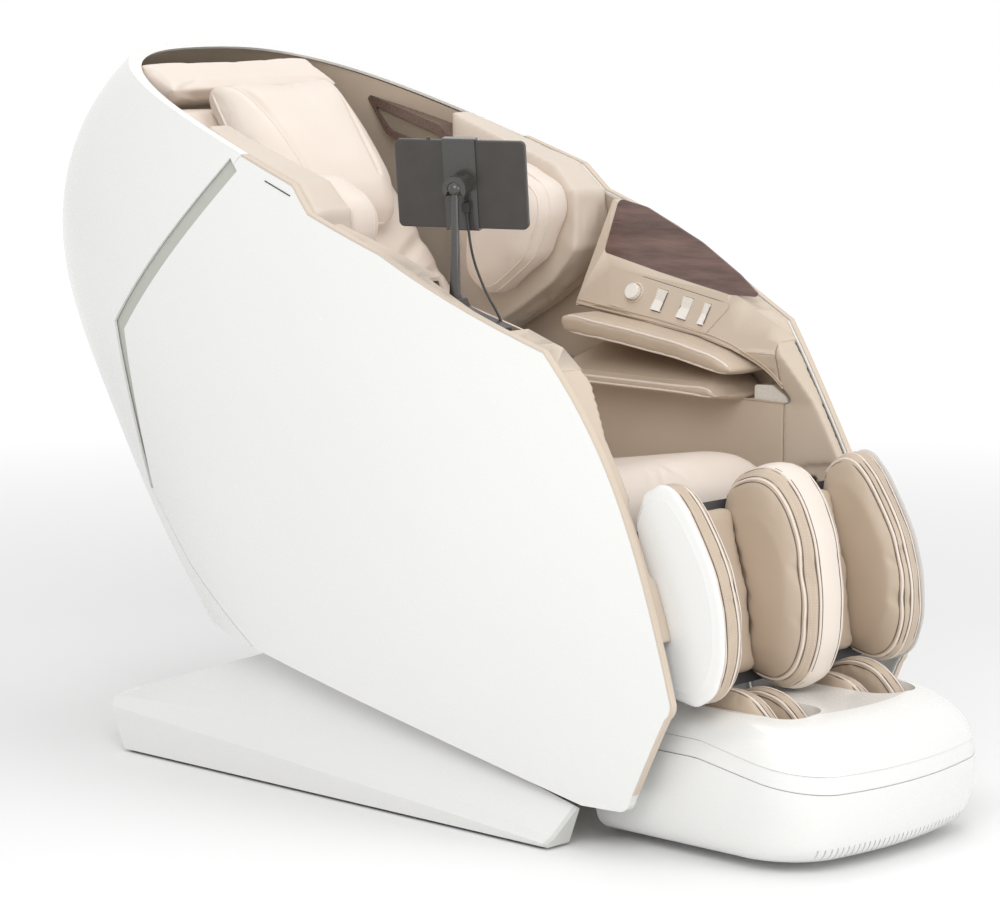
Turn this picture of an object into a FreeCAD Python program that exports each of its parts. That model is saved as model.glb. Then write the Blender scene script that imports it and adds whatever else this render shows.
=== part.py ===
import FreeCAD, Part
import math
import os

import Sketcher

# A cabin style massage chair. Millimetres. The chair faces -Y, +Z is up, X = 0 is the plane between
# its two halves, and the origin lies on the floor under the middle of the whole chair. The sizes
# below count Y from the middle of the base, and every sub-part's Placement moves it on from there.
# "Right" and "left" are the sitter's: the right arm, with the tablet, is at -X.

V = FreeCAD.Vector
doc = FreeCAD.newDocument("massage_chair")
sheet = doc.addObject("Spreadsheet::Sheet", "sizes")

# Driving dimensions: name, value, what it is
SIZES = (
    ("origin_shift", 37.4, "distance from the middle of the base back to the middle of the chair"),
    # Capsule: the egg that the outer covers are cut from, as level sections
    ("level_1", 20, "height of the lowest section"),
    ("level_2", 250, ""),
    ("level_3", 450, ""),
    ("level_4", 650, ""),
    ("level_5", 860, ""),
    ("level_6", 1000, ""),
    ("level_7", 1120, ""),
    ("level_8", 1260, "height of the highest section"),
    ("reach_1", 225, "rearmost point of the section at level 1"),
    ("reach_2", 408, ""),
    ("reach_3", 598, ""),
    ("reach_4", 745, ""),
    ("reach_5", 852, ""),
    ("reach_6", 850, ""),
    ("reach_7", 780, ""),
    ("reach_8", 570, ""),
    ("half_1", 330, "half width of the section at level 1"),
    ("half_2", 366, ""),
    ("half_3", 385, ""),
    ("half_4", 392, ""),
    ("half_5", 384, ""),
    ("half_6", 357, ""),
    ("half_7", 326, ""),
    ("half_8", 280, ""),
    ("nose_1", -760, "front end of the section at level 1"),
    ("nose_2", -760, ""),
    ("nose_3", -680, ""),
    ("nose_4", -560, ""),
    ("nose_5", -500, ""),
    ("nose_6", -500, ""),
    ("nose_7", -500, ""),
    ("nose_8", -500, ""),
    ("nose_half", 285, "half width at the front end"),
    ("widest", 100, "Y of the widest place"),
    ("roundness", 2.6, "exponent of the rounded rear"),
    ("shell_wall", 5, "wall of the outer shells"),
    # Side view of the capsule
    ("rim_rear_y", 700, "rear end of the sloping rim"),
    ("rim_rear_z", 1211, ""),
    ("rim_mid_y", -150, "place where the rim starts to curve down"),
    ("rim_mid_z", 902, ""),
    ("rim_bow", 4, "sag of the rim's curve under its chord"),
    ("step_low_y", 8, "foot of the rim's step up to the hood"),
    ("step_low_z", 957, ""),
    ("step_high_y", 52, "top of the rim's step"),
    ("step_high_z", 1000, ""),
    ("brow_y", -447, "place where the rim turns into the front edge"),
    ("brow_z", 768, ""),
    ("front_bow", 31, "rise of the front edge over its chord"),
    ("chin_y", -697, "foremost lower corner"),
    ("chin_z", 256, ""),
    ("chin_radius", 28, ""),
    ("toe_y", -615, "lowest front corner"),
    ("toe_z", 74, ""),
    ("toe_radius", 14, ""),
    ("sill_y", -530, "front end of the sloping lower edge"),
    ("sill_z", 72, ""),
    ("neck_y", 147, "rear end of the lower edge"),
    ("neck_z", 233, ""),
    ("heel_y", 310, "bend of the lower rear edge"),
    ("heel_z", 350, ""),
    ("kink_y", 422, "lower tip of the light strip"),
    ("kink_z", 466, ""),
    ("crest_y", 471, "rearmost point of the light strip"),
    ("crest_z", 742, ""),
    ("strip_top_y", 196, "upper end of the light strip"),
    ("strip_top_z", 1025, ""),
    ("strip_top", 30, "width of the light strip at its upper end"),
    ("strip_wide", 34, "width of the light strip at its bend"),
    ("strip_tip", 13, "width of the light strip at its lower tip"),
    ("strip_depth", 1.5, "gap between the shells and the strip behind them"),
    ("strip_wall", 3, "thickness of the light strip"),
    ("strip_lap", 6, "lap of the strip behind the shells"),
    ("trim_thick", 3, "thickness of the beige edge trim"),
    ("trim_gap", 0.3, "gap between the trim and the shell edge"),
    ("trim_wide", 12, "width of the beige edge trim"),
    ("rim_side", 16, "width of the rim along the sides"),
    ("rim_rear", 38, "width of the rim behind the head"),
    # Inner lining
    ("liner_wall", 6, "wall of the liners"),
    ("arm_front", 6, "step from the shell's front edge back to the armrest"),
    ("hood_front_y", -58, "front end of the hood liner"),
    ("hood_low_z", 655, "lower end of the hood liner"),
    ("arm_inner", 258, "half width between the armrest panels"),
    ("lip_half", 250, "half width at the lower lip of the armrest"),
    ("lip_z", 757, "height of the lip at its rear end"),
    ("lean", 0.4255, "outward lean of the armrest face, per unit of height"),
    ("arm_rear_y", -12, "rear end of the armrest"),
    ("ledge_z", 634, "height of the arm ledge"),
    ("tunnel_front_y", -478, "front end of the arm tunnel"),
    ("tunnel_half", 338, "half width to the back of the arm tunnel"),
    ("side_rear_y", 100, "rear end of the lower side wall"),
    ("wing_inner", 268, "half width between the headrest wings"),
    ("wing_front_y", 0, "front edge of a wing"),
    ("wing_crown", 4, "rise of a wing above the rim"),
    ("speaker_inner", 278, "half width between the speakers"),
    ("grille_deep", 8, "depth of the speaker's window"),
    ("grille_thick", 2, ""),
    ("arm_pad_inner", 176, "half width between the arm pads"),
    ("top_panel_half", 200, "half width of the panel behind the pillow"),
    ("inlay_thick", 3.5, "thickness of the wood inlay"),
    ("fit_gap", 0.3, "clearance round pieces that are let in"),
    # Control panel
    ("panel_y", -190, "middle of the control panel"),
    ("panel_z", 784, ""),
    ("panel_tilt", 9.2, "fall of the panel towards the front, degrees"),
    ("panel_deep", 13, "depth of the panel moulding"),
    ("panel_proud", 1.5, "height of the panel over the face round it"),
    ("panel_corner", 6, ""),
    ("rocker_wide", 21, ""),
    ("rocker_narrow", 12, ""),
    ("rocker_long", 38, ""),
    ("rocker_gap", 0.6, "clearance round a rocker"),
    ("rocker_pivot", 2, "depth of the rocker's axis"),
    ("rocker_pin", 1.5, "radius of the rocker's pin"),
    ("rocker_proud", 5.5, "height of the rocker's ends"),
    ("knob_u", -54, "place of the knob along the panel"),
    ("knob_radius", 14, ""),
    ("knob_tall", 11, ""),
    ("knob_shaft", 4, "radius of the knob's shaft"),
    # Shelf on the right armrest
    ("shelf_z", 826, "height of the shelf under the tablet holder"),
    ("shelf_slope", 0.3, "fall of the shelf towards the front"),
    ("shelf_inner", 262, "half width to the inner side of the shelf"),
    ("shelf_outer", 322, "half width to the outer side of the shelf"),
    ("relief_wall", 2.5, "wall of the cable's strain relief"),
    # Base
    ("base_half", 346, "half width of the base at the floor"),
    ("base_rear_y", 491, "rear end of the base at the floor"),
    ("base_front_y", -491, "front end of the base"),
    ("base_lean_front", 0.37, "lean of the front of the base, per unit of height"),
    ("base_lean_rear", 0.38, "lean of the rear of the base, per unit of height"),
    ("base_wall", 4, "wall of the base cover"),
    ("base_low", 5, "height of the lower edge of the base cover"),
    ("skid_half", 296, "half width between the two skids"),
    ("skid_rear_y", -285, "rear end of the gap between the skids"),
    ("cap_thick", 9, "thickness of the skid end caps"),
    ("deck_gap", 11, "gap between the base cover and the shell above it"),
    ("deck_rear_y", 528, "rear end of the deck"),
    ("deck_rear_z", 97, ""),
    ("trough_deep", 30, "depth of the middle of the deck below its edges"),
    ("rail_half", 332, "half width over the frame rails"),
    ("rail_wide", 24, "width of a frame rail"),
    ("frame_low", 12, "height of the underside of the frame"),
    ("frame_tall", 30, "height of the frame rails"),
    ("foot_radius", 17, "rubber foot"),
    ("wheel_radius", 24, "transport wheel"),
    ("wheel_wide", 20, ""),
    ("wheel_y", 446, ""),
    ("wheel_z", 27, ""),
    ("wheel_x", 220, ""),
    ("axle_radius", 5, ""),
    ("running_gap", 0.05, "radial clearance of pins in their holes"),
    # Tilt pivot and tilt drive
    ("tilt_y", 170, "tilt axis"),
    ("tilt_z", 235, ""),
    ("tilt_pin_radius", 10, ""),
    ("ear_inner", 145, "inner face of a base ear"),
    ("ear_thick", 10, ""),
    ("motor_y", -255, "lower pivot of the tilt drive"),
    ("motor_z", 82, ""),
    ("rod_y", -30, "upper pivot of the tilt drive"),
    ("rod_z", 300, ""),
    ("clevis_half", 20, "half width between the drive's ears"),
    ("rod_radius", 9, ""),
    ("motor_tube_radius", 17, ""),
    ("drive_tube_long", 245, ""),
    ("drive_bore_from", 106, ""),
    ("rod_pin_radius", 7, ""),
    ("rod_eye_slack", 6, "play of the open pivot"),
    # Seat structure
    ("plate_half", 165, "inner face of a seat side plate"),
    ("plate_thick", 6, ""),
    ("tube_radius", 13, "cross tube"),
    ("tube_wall", 2, ""),
    ("rear_tube_y", 100, "place of the rear cross tube"),
    ("rear_tube_z", 330, ""),
    ("pan_thick", 3, "seat pan"),
    ("back_rail_thick", 8, ""),
    ("carriage_home", 330, "height of the massage carriage at rest, along the back"),
    ("rock_w", -125, "depth of the rollers' axis behind the front of the back"),
    ("roller_radius", 27, ""),
    ("knee_boss", 16, "boss of the plate round the knee shaft"),
    # Knee, calf rest
    ("knee_y", -570, "knee axis"),
    ("knee_z", 500, ""),
    ("knee_radius", 9, ""),
    ("calf_lean", 11.9, "lean of the calf rest at rest, degrees"),
    ("calf_plate_from", 18, "distance of the calf plate in front of the knee axis"),
    ("calf_plate_thick", 7, ""),
    ("calf_half", 236, "half width of the calf plate"),
    ("calf_long", 268, "length of the calf plate below the knee axis"),
    ("lobe_inner", 194, "inner face of an outer calf pad"),
    ("lobe_outer", 250, "outer face of an outer calf pad"),
    ("cover_outer", 257.4, "outer face of the calf side cover"),
    ("divider_half", 57, "half width of the middle calf pad"),
    # Foot unit
    ("foot_half", 242, "half width of the foot unit"),
    ("foot_front_y", -934, ""),
    ("foot_rear_y", -494, ""),
    ("foot_corner", 118, "size of the foot unit's front corners"),
    ("foot_low", 18, "height of its underside"),
    ("foot_top", 228, ""),
    ("foot_wall", 4, ""),
    ("foot_line_z", 148, "height of the trim line at the front"),
    ("foot_line_rise", 0.16, "rise of the trim line towards the rear"),
    ("foot_band", 27, "height of the trim band"),
    ("band_gap", 1, "gap above and below the trim band"),
    ("well_inner", 66, "inner wall of a foot well"),
    ("well_outer", 174, "outer wall of a foot well"),
    ("well_front_y", -828, ""),
    ("well_rear_y", -600, ""),
    ("well_floor", 84, "height of the sole of a foot well"),
    ("guide_radius", 6, "guide rod of the foot unit"),
    ("guide_half", 30, "half distance between the guide rods"),
    ("guide_w", 6, "place of the guide rods in front of the knee axis"),
    ("rod_start", 30, "upper end of a guide rod, below the knee axis"),
    ("rod_end", 330, "lower end of a guide rod"),
    ("sole_y", -735, "axis of the sole rollers"),
    ("sole_radius", 13, ""),
    ("sole_axle", 3, ""),
    ("slot_first", -190, "first air slot of the foot unit"),
    ("slot_pitch", 11, ""),
    # Soft parts
    ("back_top_y", 520, "top of the back cushion, front face"),
    ("back_top_z", 1112, ""),
    ("back_low_y", -20, "foot of the back cushion, front face"),
    ("back_low_z", 462, ""),
    ("back_thick", 60, ""),
    ("back_half", 236, ""),
    ("channel_first", 70, "first sewn channel, from the foot of the back"),
    ("channel_pitch", 66, ""),
    ("channel_rise", 150, "rise of a channel from the middle to the edge"),
    ("channel_radius", 8, ""),
    ("channel_deep", 4, ""),
    ("pillow_low", 527, "lower edge of the pillow, along the back"),
    ("pillow_tall", 313, ""),
    ("seat_half", 240, ""),
    ("seat_front_y", -492, ""),
    ("seat_front_z", 520, "height of the seat at its front"),
    ("seat_rear_y", -70, ""),
    ("seat_rear_z", 452, ""),
    ("seat_thick", 84, ""),
    # Tablet holder
    ("stalk_x", -300, ""),
    ("stalk_y", -254, ""),
    ("stalk_low_z", 836, ""),
    ("ball_z", 1006, "height of the ball centre"),
    ("ball_radius", 11.5, ""),
    ("stalk_top_radius", 5.5, ""),
    ("stalk_base_radius", 9, ""),
    ("tablet_wide", 216, ""),
    ("tablet_tall", 140, ""),
    ("tablet_thick", 10, ""),
    ("tablet_off", 27, "distance from the ball centre to the back of the tablet"),
    ("tablet_turn", 23, "bearing of the screen, from the X axis, degrees"),
    ("tablet_pitch", 9, "upward tilt of the screen, degrees"),
    ("tablet_shift", 0, "shift of the tablet in its bracket"),
    ("bracket_wide", 54, ""),
    ("bracket_thick", 3, ""),
    ("socket_radius", 20, "outer radius of the ball socket"),
    ("ball_gap", 0.4, "clearance between ball and socket"),
    ("cable_radius", 2, ""),
)
for row, (name, value, note) in enumerate(SIZES, 1):
    sheet.set("A%d" % row, name)
    sheet.set("B%d" % row, str(value))
    sheet.setAlias("B%d" % row, name)
    sheet.set("C%d" % row, note)
doc.recompute()


class Sizes:
    """The driving dimensions, read from the sheet by name."""

    def __getattr__(self, name):
        return float(sheet.get(name))


S = Sizes()


def size(name):
    return float(sheet.get(name))


NODES = []


# Helpers for outlines, prisms and lofts

def side_view(x):
    """Maps (y, z) of a side outline to a point at X = x."""
    return lambda u, v: V(x, u, v)


def plan_view(z):
    """Maps (x, y) of a plan outline to a point at Z = z."""
    return lambda u, v: V(u, v, z)


def front_view(y):
    """Maps (x, z) of a front outline to a point at Y = y."""
    return lambda u, v: V(u, y, v)


class Frame:
    """A place with axes of its own: u along, v up, w out of the surface."""

    def __init__(self, origin, along, up):
        self.origin = origin
        self.along = V(along).normalize()
        self.up = V(up).normalize()
        self.out = self.along.cross(self.up)

    def at(self, u, v, w=0.0):
        return self.origin + self.along * u + self.up * v + self.out * w

    def level(self, w):
        return lambda u, v: self.at(u, v, w)

    def placement(self):
        turn = FreeCAD.Rotation(self.along, self.up, self.out, "XYZ")
        return FreeCAD.Placement(self.origin, turn)


def closed_wire(corners, radii, lift):
    """Closed outline through corners (u, v), each rounded by a tangent arc."""
    count = len(corners)
    if not isinstance(radii, (list, tuple)):
        radii = [radii] * count
    points = [lift(u, v) for u, v in corners]
    starts, mids, ends = [], [], []
    for i in range(count):
        here = points[i]
        back = (points[i - 1] - here).normalize()
        ahead = (points[(i + 1) % count] - here).normalize()
        if radii[i] <= 0:
            starts.append(here)
            mids.append(None)
            ends.append(here)
            continue
        half = back.getAngle(ahead) / 2
        cut = radii[i] / math.tan(half)
        middle = (back + ahead).normalize()
        starts.append(here + back * cut)
        ends.append(here + ahead * cut)
        mids.append(here + middle * (radii[i] / math.sin(half) - radii[i]))
    edges = []
    for i in range(count):
        if mids[i] is not None:
            edges.append(Part.Arc(starts[i], mids[i], ends[i]).toShape())
        edges.append(Part.LineSegment(ends[i], starts[(i + 1) % count]).toShape())
    return Part.Wire(edges)


def prism(wire, vector):
    return Part.Face(wire).extrude(vector)


def side_prism(corners, radii, x_from, x_to):
    """Side outline (y, z) made solid from x_from to x_to."""
    return prism(closed_wire(corners, radii, side_view(x_from)), V(x_to - x_from, 0, 0))


def front_prism(corners, radii, y_from, y_to):
    """Front outline (x, z) made solid from y_from to y_to."""
    return prism(closed_wire(corners, radii, front_view(y_from)), V(0, y_to - y_from, 0))


def plan_prism(corners, radii, z_from, z_to):
    """Plan outline (x, y) made solid from z_from to z_to."""
    return prism(closed_wire(corners, radii, plan_view(z_from)), V(0, 0, z_to - z_from))


def block(x_from, x_to, y_from, y_to, z_from, z_to):
    return Part.makeBox(x_to - x_from, y_to - y_from, z_to - z_from, V(x_from, y_from, z_from))


def rod(start, end, radius):
    return Part.makeCylinder(radius, (end - start).Length, start, end - start)


def cross_rod(y, z, radius, x_from, x_to):
    return rod(V(x_from, y, z), V(x_to, y, z), radius)


def other_side(shape):
    return shape.mirror(V(0, 0, 0), V(1, 0, 0))


def both_sides(shape):
    return Part.makeCompound([shape, other_side(shape)])


def inset_corners(corners, inset):
    """The corners drawn in towards the middle of the outline by the inset on every side."""
    us = [u for u, v in corners]
    vs = [v for u, v in corners]
    middle_u = (max(us) + min(us)) / 2
    middle_v = (max(vs) + min(vs)) / 2
    share_u = 1 - 2 * inset / (max(us) - min(us))
    share_v = 1 - 2 * inset / (max(vs) - min(vs))
    drawn = [(middle_u + (u - middle_u) * share_u, middle_v + (v - middle_v) * share_v)
             for u, v in corners]
    return drawn, min(share_u, share_v)


def cushion(frame, corners, radii, levels):
    """Padded form: the outline at each (height, inset) level, lofted into one crowned solid."""
    wires = []
    for height, inset in levels:
        drawn, share = inset_corners(corners, inset)
        wires.append(closed_wire(drawn, [r * share for r in radii], frame.level(height)))
    return Part.makeLoft(wires, True, False, False, 3)


def crown(thick, edge):
    """Levels of a cushion: drawn in at its back, full at its waist, domed at its front."""
    return ((0, edge), (thick * 0.32, 0), (thick * 0.6, edge * 0.1), (thick * 0.82, edge * 0.9),
            (thick * 0.95, edge * 2.6), (thick, edge * 5.5))


TO_ORIGIN = FreeCAD.Placement(V(0, S.origin_shift, 0), FreeCAD.Rotation())


def keep(name, shape):
    """Adds a sub-part whose shape is worked out here from the sheet's sizes."""
    item = doc.addObject("Part::Feature", name)
    item.Label = name
    solids = shape.Solids
    item.Shape = solids[0] if len(solids) == 1 else Part.makeCompound(solids)
    item.Placement = TO_ORIGIN
    NODES.append(item)
    return item


# Helpers for sub-parts that are made from sketches

def new_body(name):
    body = doc.addObject("PartDesign::Body", name)
    body.Label = name
    body.Placement = TO_ORIGIN
    NODES.append(body)
    return body


def sketch_on(body, role, name, offset):
    """Sketch on one of the body's own origin planes, moved out by the offset."""
    plane = next(item for item in body.Origin.OriginFeatures if item.Role == role)
    sketch = body.newObject("Sketcher::SketchObject", name)
    sketch.AttachmentSupport = [(plane, "")]
    sketch.MapMode = "FlatFace"
    sketch.setExpression("AttachmentOffset.Base.z", offset)
    return sketch


def draw_outline(sketch, corners):
    """Closed polygon whose corners follow the sheet."""
    first = sketch.GeometryCount
    count = len(corners)
    guess = [V(sketch.evalExpression(u), sketch.evalExpression(v), 0) for u, v in corners]
    for i in range(count):
        sketch.addGeometry(Part.LineSegment(guess[i], guess[(i + 1) % count]), False)
    for i in range(count):
        following = first + (i + 1) % count
        sketch.addConstraint(Sketcher.Constraint("Coincident", first + i, 2, following, 1))
    for i, (u, v) in enumerate(corners):
        for kind, expression, value in (("DistanceX", u, guess[i].x), ("DistanceY", v, guess[i].y)):
            number = sketch.addConstraint(Sketcher.Constraint(kind, -1, 1, first + i, 1, value))
            sketch.setExpression("Constraints[%d]" % number, expression)


def draw_circle(sketch, u, v, radius):
    """Circle whose centre and radius follow the sheet."""
    centre = V(sketch.evalExpression(u), sketch.evalExpression(v), 0)
    value = sketch.evalExpression(radius)
    item = sketch.addGeometry(Part.Circle(centre, V(0, 0, 1), value), False)
    for kind, expression, guess in (("DistanceX", u, centre.x), ("DistanceY", v, centre.y)):
        number = sketch.addConstraint(Sketcher.Constraint(kind, -1, 1, item, 3, guess))
        sketch.setExpression("Constraints[%d]" % number, expression)
    number = sketch.addConstraint(Sketcher.Constraint("Radius", item, value))
    sketch.setExpression("Constraints[%d]" % number, radius)


def pad(body, sketch, name, length):
    item = body.newObject("PartDesign::Pad", name)
    item.Profile = sketch
    item.setExpression("Length", length)
    return item


def pad_polygon(body, role, name, offset, corners, length):
    sketch = sketch_on(body, role, name + "_sketch", offset)
    draw_outline(sketch, corners)
    return pad(body, sketch, name, length)


def pad_circle(body, role, name, offset, u, v, radius, length):
    sketch = sketch_on(body, role, name + "_sketch", offset)
    draw_circle(sketch, u, v, radius)
    return pad(body, sketch, name, length)


def rectangle(u_from, u_to, v_from, v_to):
    return [(u_from, v_from), (u_to, v_from), (u_to, v_to), (u_from, v_to)]


# Capsule: the egg, and its side outline

LEVELS = range(1, 9)
WIDE = 460.0
REAR_LIMIT = 900.0


def level_curve(k, inset_rear, inset_side):
    """Level section of the egg, drawn in from the outside: from one front end round the rear."""
    height = size("level_%d" % k)
    reach = size("reach_%d" % k) - inset_rear
    half = size("half_%d" % k) - inset_side
    nose = size("nose_%d" % k)
    nose_half = S.nose_half - inset_side
    side = []
    for share in (1.0, 0.75, 0.5, 0.25):
        x = half - (half - nose_half) * share ** 2
        side.append((x, S.widest - share * (S.widest - nose)))
    for angle in (0, 18, 36, 54, 72):
        turn = math.radians(angle)
        x = half * math.cos(turn) ** (2 / S.roundness)
        side.append((x, S.widest + (reach - S.widest) * math.sin(turn) ** (2 / S.roundness)))
    points = [V(x, y, height) for x, y in side]
    points.append(V(0, reach, height))
    points += [V(-x, y, height) for x, y in reversed(side)]
    curve = Part.BSplineCurve()
    curve.interpolate(points)
    return curve, points[0], points[-1]


def egg(inset_rear, inset_side=None):
    """The egg drawn in by the insets, as a solid."""
    if inset_side is None:
        inset_side = inset_rear
    sections = []
    for k in LEVELS:
        curve, start, end = level_curve(k, inset_rear, inset_side)
        sections.append(Part.Wire([curve.toShape(), Part.LineSegment(end, start).toShape()]))
    return Part.makeLoft(sections, True, False, False, 3)


def egg_wall(outer, inner_rear, inner_side=None):
    """The wall between two insets of the egg, open at the front."""
    if inner_side is None:
        inner_side = inner_rear
    sections = []
    for k in LEVELS:
        outside, out_start, out_end = level_curve(k, outer, outer)
        inside, in_start, in_end = level_curve(k, inner_rear, inner_side)
        edges = [outside.toShape(), Part.LineSegment(out_end, in_end).toShape(),
                 inside.toShape(), Part.LineSegment(in_start, out_start).toShape()]
        sections.append(Part.Wire(edges))
    return Part.makeLoft(sections, True, False, False, 3)


RIM_SLOPE = (S.rim_rear_z - S.step_high_z) / (S.rim_rear_y - S.step_high_y)


def bowed(start, end, rise):
    """Middle point of a shallow arc over a chord: a positive rise bows it out to the front."""
    middle = (start + end) * 0.5
    along = end - start
    return middle + V(0, along.z, -along.y).normalize() * rise


def capsule_prism(shift_y=0.0, shift_z=0.0):
    """Side outline of the whole capsule, moved by the shift, as a prism across the chair."""
    def p(y, z):
        return V(-WIDE, y + shift_y, z + shift_z)
    top = p(REAR_LIMIT, S.rim_rear_z + (REAR_LIMIT - S.rim_rear_y) * RIM_SLOPE)
    step_high = p(S.step_high_y, S.step_high_z)
    step_low = p(S.step_low_y, S.step_low_z)
    rim = p(S.rim_mid_y, S.rim_mid_z)
    brow = p(S.brow_y, S.brow_z)
    chin_top = p(S.chin_y, S.chin_z)
    chin_low = p(S.chin_y + S.chin_radius * 0.28, S.chin_z - S.chin_radius)
    chin_mid = p(S.chin_y - S.chin_radius * 0.02, S.chin_z - S.chin_radius * 0.55)
    toe_top = p(S.toe_y - S.toe_radius * 0.6, S.toe_z + S.toe_radius * 1.1)
    toe_mid = p(S.toe_y - S.toe_radius * 0.05, S.toe_z + S.toe_radius * 0.2)
    toe_low = p(S.toe_y + S.toe_radius, S.toe_z - S.toe_radius * 0.1)
    sill = p(S.sill_y, S.sill_z)
    neck = p(S.neck_y, S.neck_z)
    tail = p(REAR_LIMIT, S.neck_z + (REAR_LIMIT - S.neck_y) * REAR_SLOPE)
    edges = [
        Part.LineSegment(top, step_high),
        Part.LineSegment(step_high, step_low),
        Part.LineSegment(step_low, rim),
        Part.Arc(rim, bowed(rim, brow, -S.rim_bow), brow),
        Part.Arc(brow, bowed(brow, chin_top, S.front_bow), chin_top),
        Part.Arc(chin_top, chin_mid, chin_low),
        Part.LineSegment(chin_low, toe_top),
        Part.Arc(toe_top, toe_mid, toe_low),
        Part.LineSegment(toe_low, sill),
        Part.LineSegment(sill, neck),
        Part.LineSegment(neck, tail),
        Part.LineSegment(tail, top),
    ]
    return prism(Part.Wire([edge.toShape() for edge in edges]), V(2 * WIDE, 0, 0))


REAR_SLOPE = 0.17
RIM_IN = V(0, 0.34, -0.94)
FRONT_IN = V(0, 1, 0)


def capsule_inside(depth):
    """The capsule's side outline drawn in from the rim and the front edge only."""
    rim_part = capsule_prism(RIM_IN.y * depth, RIM_IN.z * depth)
    return capsule_prism().common(rim_part).common(capsule_prism(FRONT_IN.y * depth, 0))


STRIP_LOW = V(0, S.kink_y, S.kink_z)
STRIP_BEND = V(0, S.crest_y, S.crest_z)
STRIP_TOP = V(0, S.strip_top_y, S.strip_top_z)
STRIP_BEYOND = STRIP_TOP + (STRIP_TOP - STRIP_BEND).normalize() * 80


def strip_edges(grow):
    """Front and rear edges of the light strip in the side view, moved apart by the growth."""
    lower = (STRIP_BEND - STRIP_LOW).normalize()
    upper = (STRIP_TOP - STRIP_BEND).normalize()
    lower_out = V(0, lower.z, -lower.y)
    upper_out = V(0, upper.z, -upper.y)
    bend_out = (lower_out + upper_out).normalize()
    low = STRIP_LOW - lower * grow
    top = STRIP_TOP + upper * grow
    edges = []
    for side in (-1, 1):
        edges.append([low + lower_out * side * (S.strip_tip / 2 + grow),
                      STRIP_BEND + bend_out * side * (S.strip_wide / 2 + grow),
                      top + upper_out * side * (S.strip_top / 2 + grow)])
    return edges


def yz(points):
    return [(point.y, point.z) for point in points]


FRONT_EDGE, REAR_EDGE = strip_edges(0)
HIGH = 1500.0
side_region = side_prism(
    yz([STRIP_LOW] + FRONT_EDGE + [STRIP_TOP, STRIP_BEYOND])
    + [(-REAR_LIMIT, HIGH), (-REAR_LIMIT, 0), (S.neck_y, 0), (S.neck_y, S.neck_z),
       (S.heel_y, S.heel_z)], 0, -WIDE, WIDE)
SEAM = 1.0
BESIDE = V(0, SEAM, 0)
rear_region = side_prism(
    yz([STRIP_LOW + BESIDE] + REAR_EDGE + [STRIP_TOP + BESIDE, STRIP_BEYOND + BESIDE])
    + [(REAR_LIMIT, HIGH), (REAR_LIMIT, 0), (S.neck_y + SEAM, 0),
       (S.neck_y + SEAM, S.neck_z - SEAM), (S.heel_y + SEAM, S.heel_z - SEAM)], 0, -WIDE, WIDE)
LAP_FRONT, LAP_REAR = strip_edges(S.strip_lap)
strip_region = side_prism(yz(LAP_FRONT) + yz(reversed(LAP_REAR)), 0, -WIDE, WIDE)
RIGHT_HALF = block(-WIDE, 0, -REAR_LIMIT, REAR_LIMIT, 0, HIGH)

# The outer shells: a wall along the outside, and a rim turned inwards along the top and the front
TRIM_STEP = S.trim_thick + S.trim_gap
shell_skin = egg_wall(0, S.shell_wall)
rim_band = egg_wall(S.shell_wall / 2, S.rim_rear, S.rim_side)
inside_trim = capsule_inside(TRIM_STEP)
right_side = side_region.common(RIGHT_HALF)
side_wall = shell_skin.common(right_side.common(inside_trim))
side_ring = inside_trim.cut(capsule_inside(TRIM_STEP + S.shell_wall)).common(right_side)
side_shell = side_wall.fuse(rim_band.common(side_ring))
keep("side_shell_right", side_shell)
keep("side_shell_left", other_side(side_shell))

whole = capsule_prism()
rear_ring = whole.cut(capsule_inside(S.shell_wall)).common(rear_region)
rear_wall = shell_skin.common(whole.common(rear_region))
keep("rear_shell", rear_wall.fuse(rim_band.common(rear_ring)))

TRIM_END = S.toe_z + 2 * S.toe_radius
above_toe = block(-WIDE, WIDE, -REAR_LIMIT, REAR_LIMIT, TRIM_END, HIGH)
trim_path = whole.cut(capsule_inside(S.trim_thick)).common(right_side).common(above_toe)
keep("edge_trims", both_sides(egg_wall(0.5, S.trim_wide).common(trim_path)))

strip_face = S.shell_wall + S.strip_depth
strip_skin = egg_wall(strip_face, strip_face + S.strip_wall)
strip_limit = capsule_inside(TRIM_STEP + S.shell_wall + S.fit_gap).common(strip_region)
keep("light_strips", both_sides(strip_skin.common(strip_limit.common(RIGHT_HALF))))


# Lining of the cabin

LINING = S.rim_side + S.fit_gap
lining_egg = egg(LINING)
tunnel_egg = egg(LINING + S.liner_wall)
tunnel_pad_egg = egg(LINING + S.liner_wall + S.fit_gap)

# Hood liner: the U shaped inner wall round the head, under the rim
liner_path = capsule_inside(S.shell_wall + TRIM_STEP + S.fit_gap)
liner_room = side_prism(
    [(S.hood_front_y, S.hood_low_z), (REAR_LIMIT, S.hood_low_z), (REAR_LIMIT, HIGH),
     (S.hood_front_y, HIGH)], 0, -WIDE, WIDE)
liner_skin = egg_wall(S.rim_side - S.liner_wall, S.rim_side)
keep("hood_liner", liner_skin.common(liner_path.common(liner_room)))


def face_x(z, depth=0.0):
    """Half width of the armrest's leaning inner face at height z, and deeper into it."""
    return S.lip_half + (z - S.lip_z) * S.lean + depth


def face_band(z_from, z_to, depth_from, depth_to):
    """A slab along the leaning inner face, between two depths, on the left side."""
    corners = [(face_x(z_from, depth_from), z_from), (face_x(z_from, depth_to), z_from),
               (face_x(z_to, depth_to), z_to), (face_x(z_to, depth_from), z_to)]
    return front_prism(corners, 0, -REAR_LIMIT, REAR_LIMIT)


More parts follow.
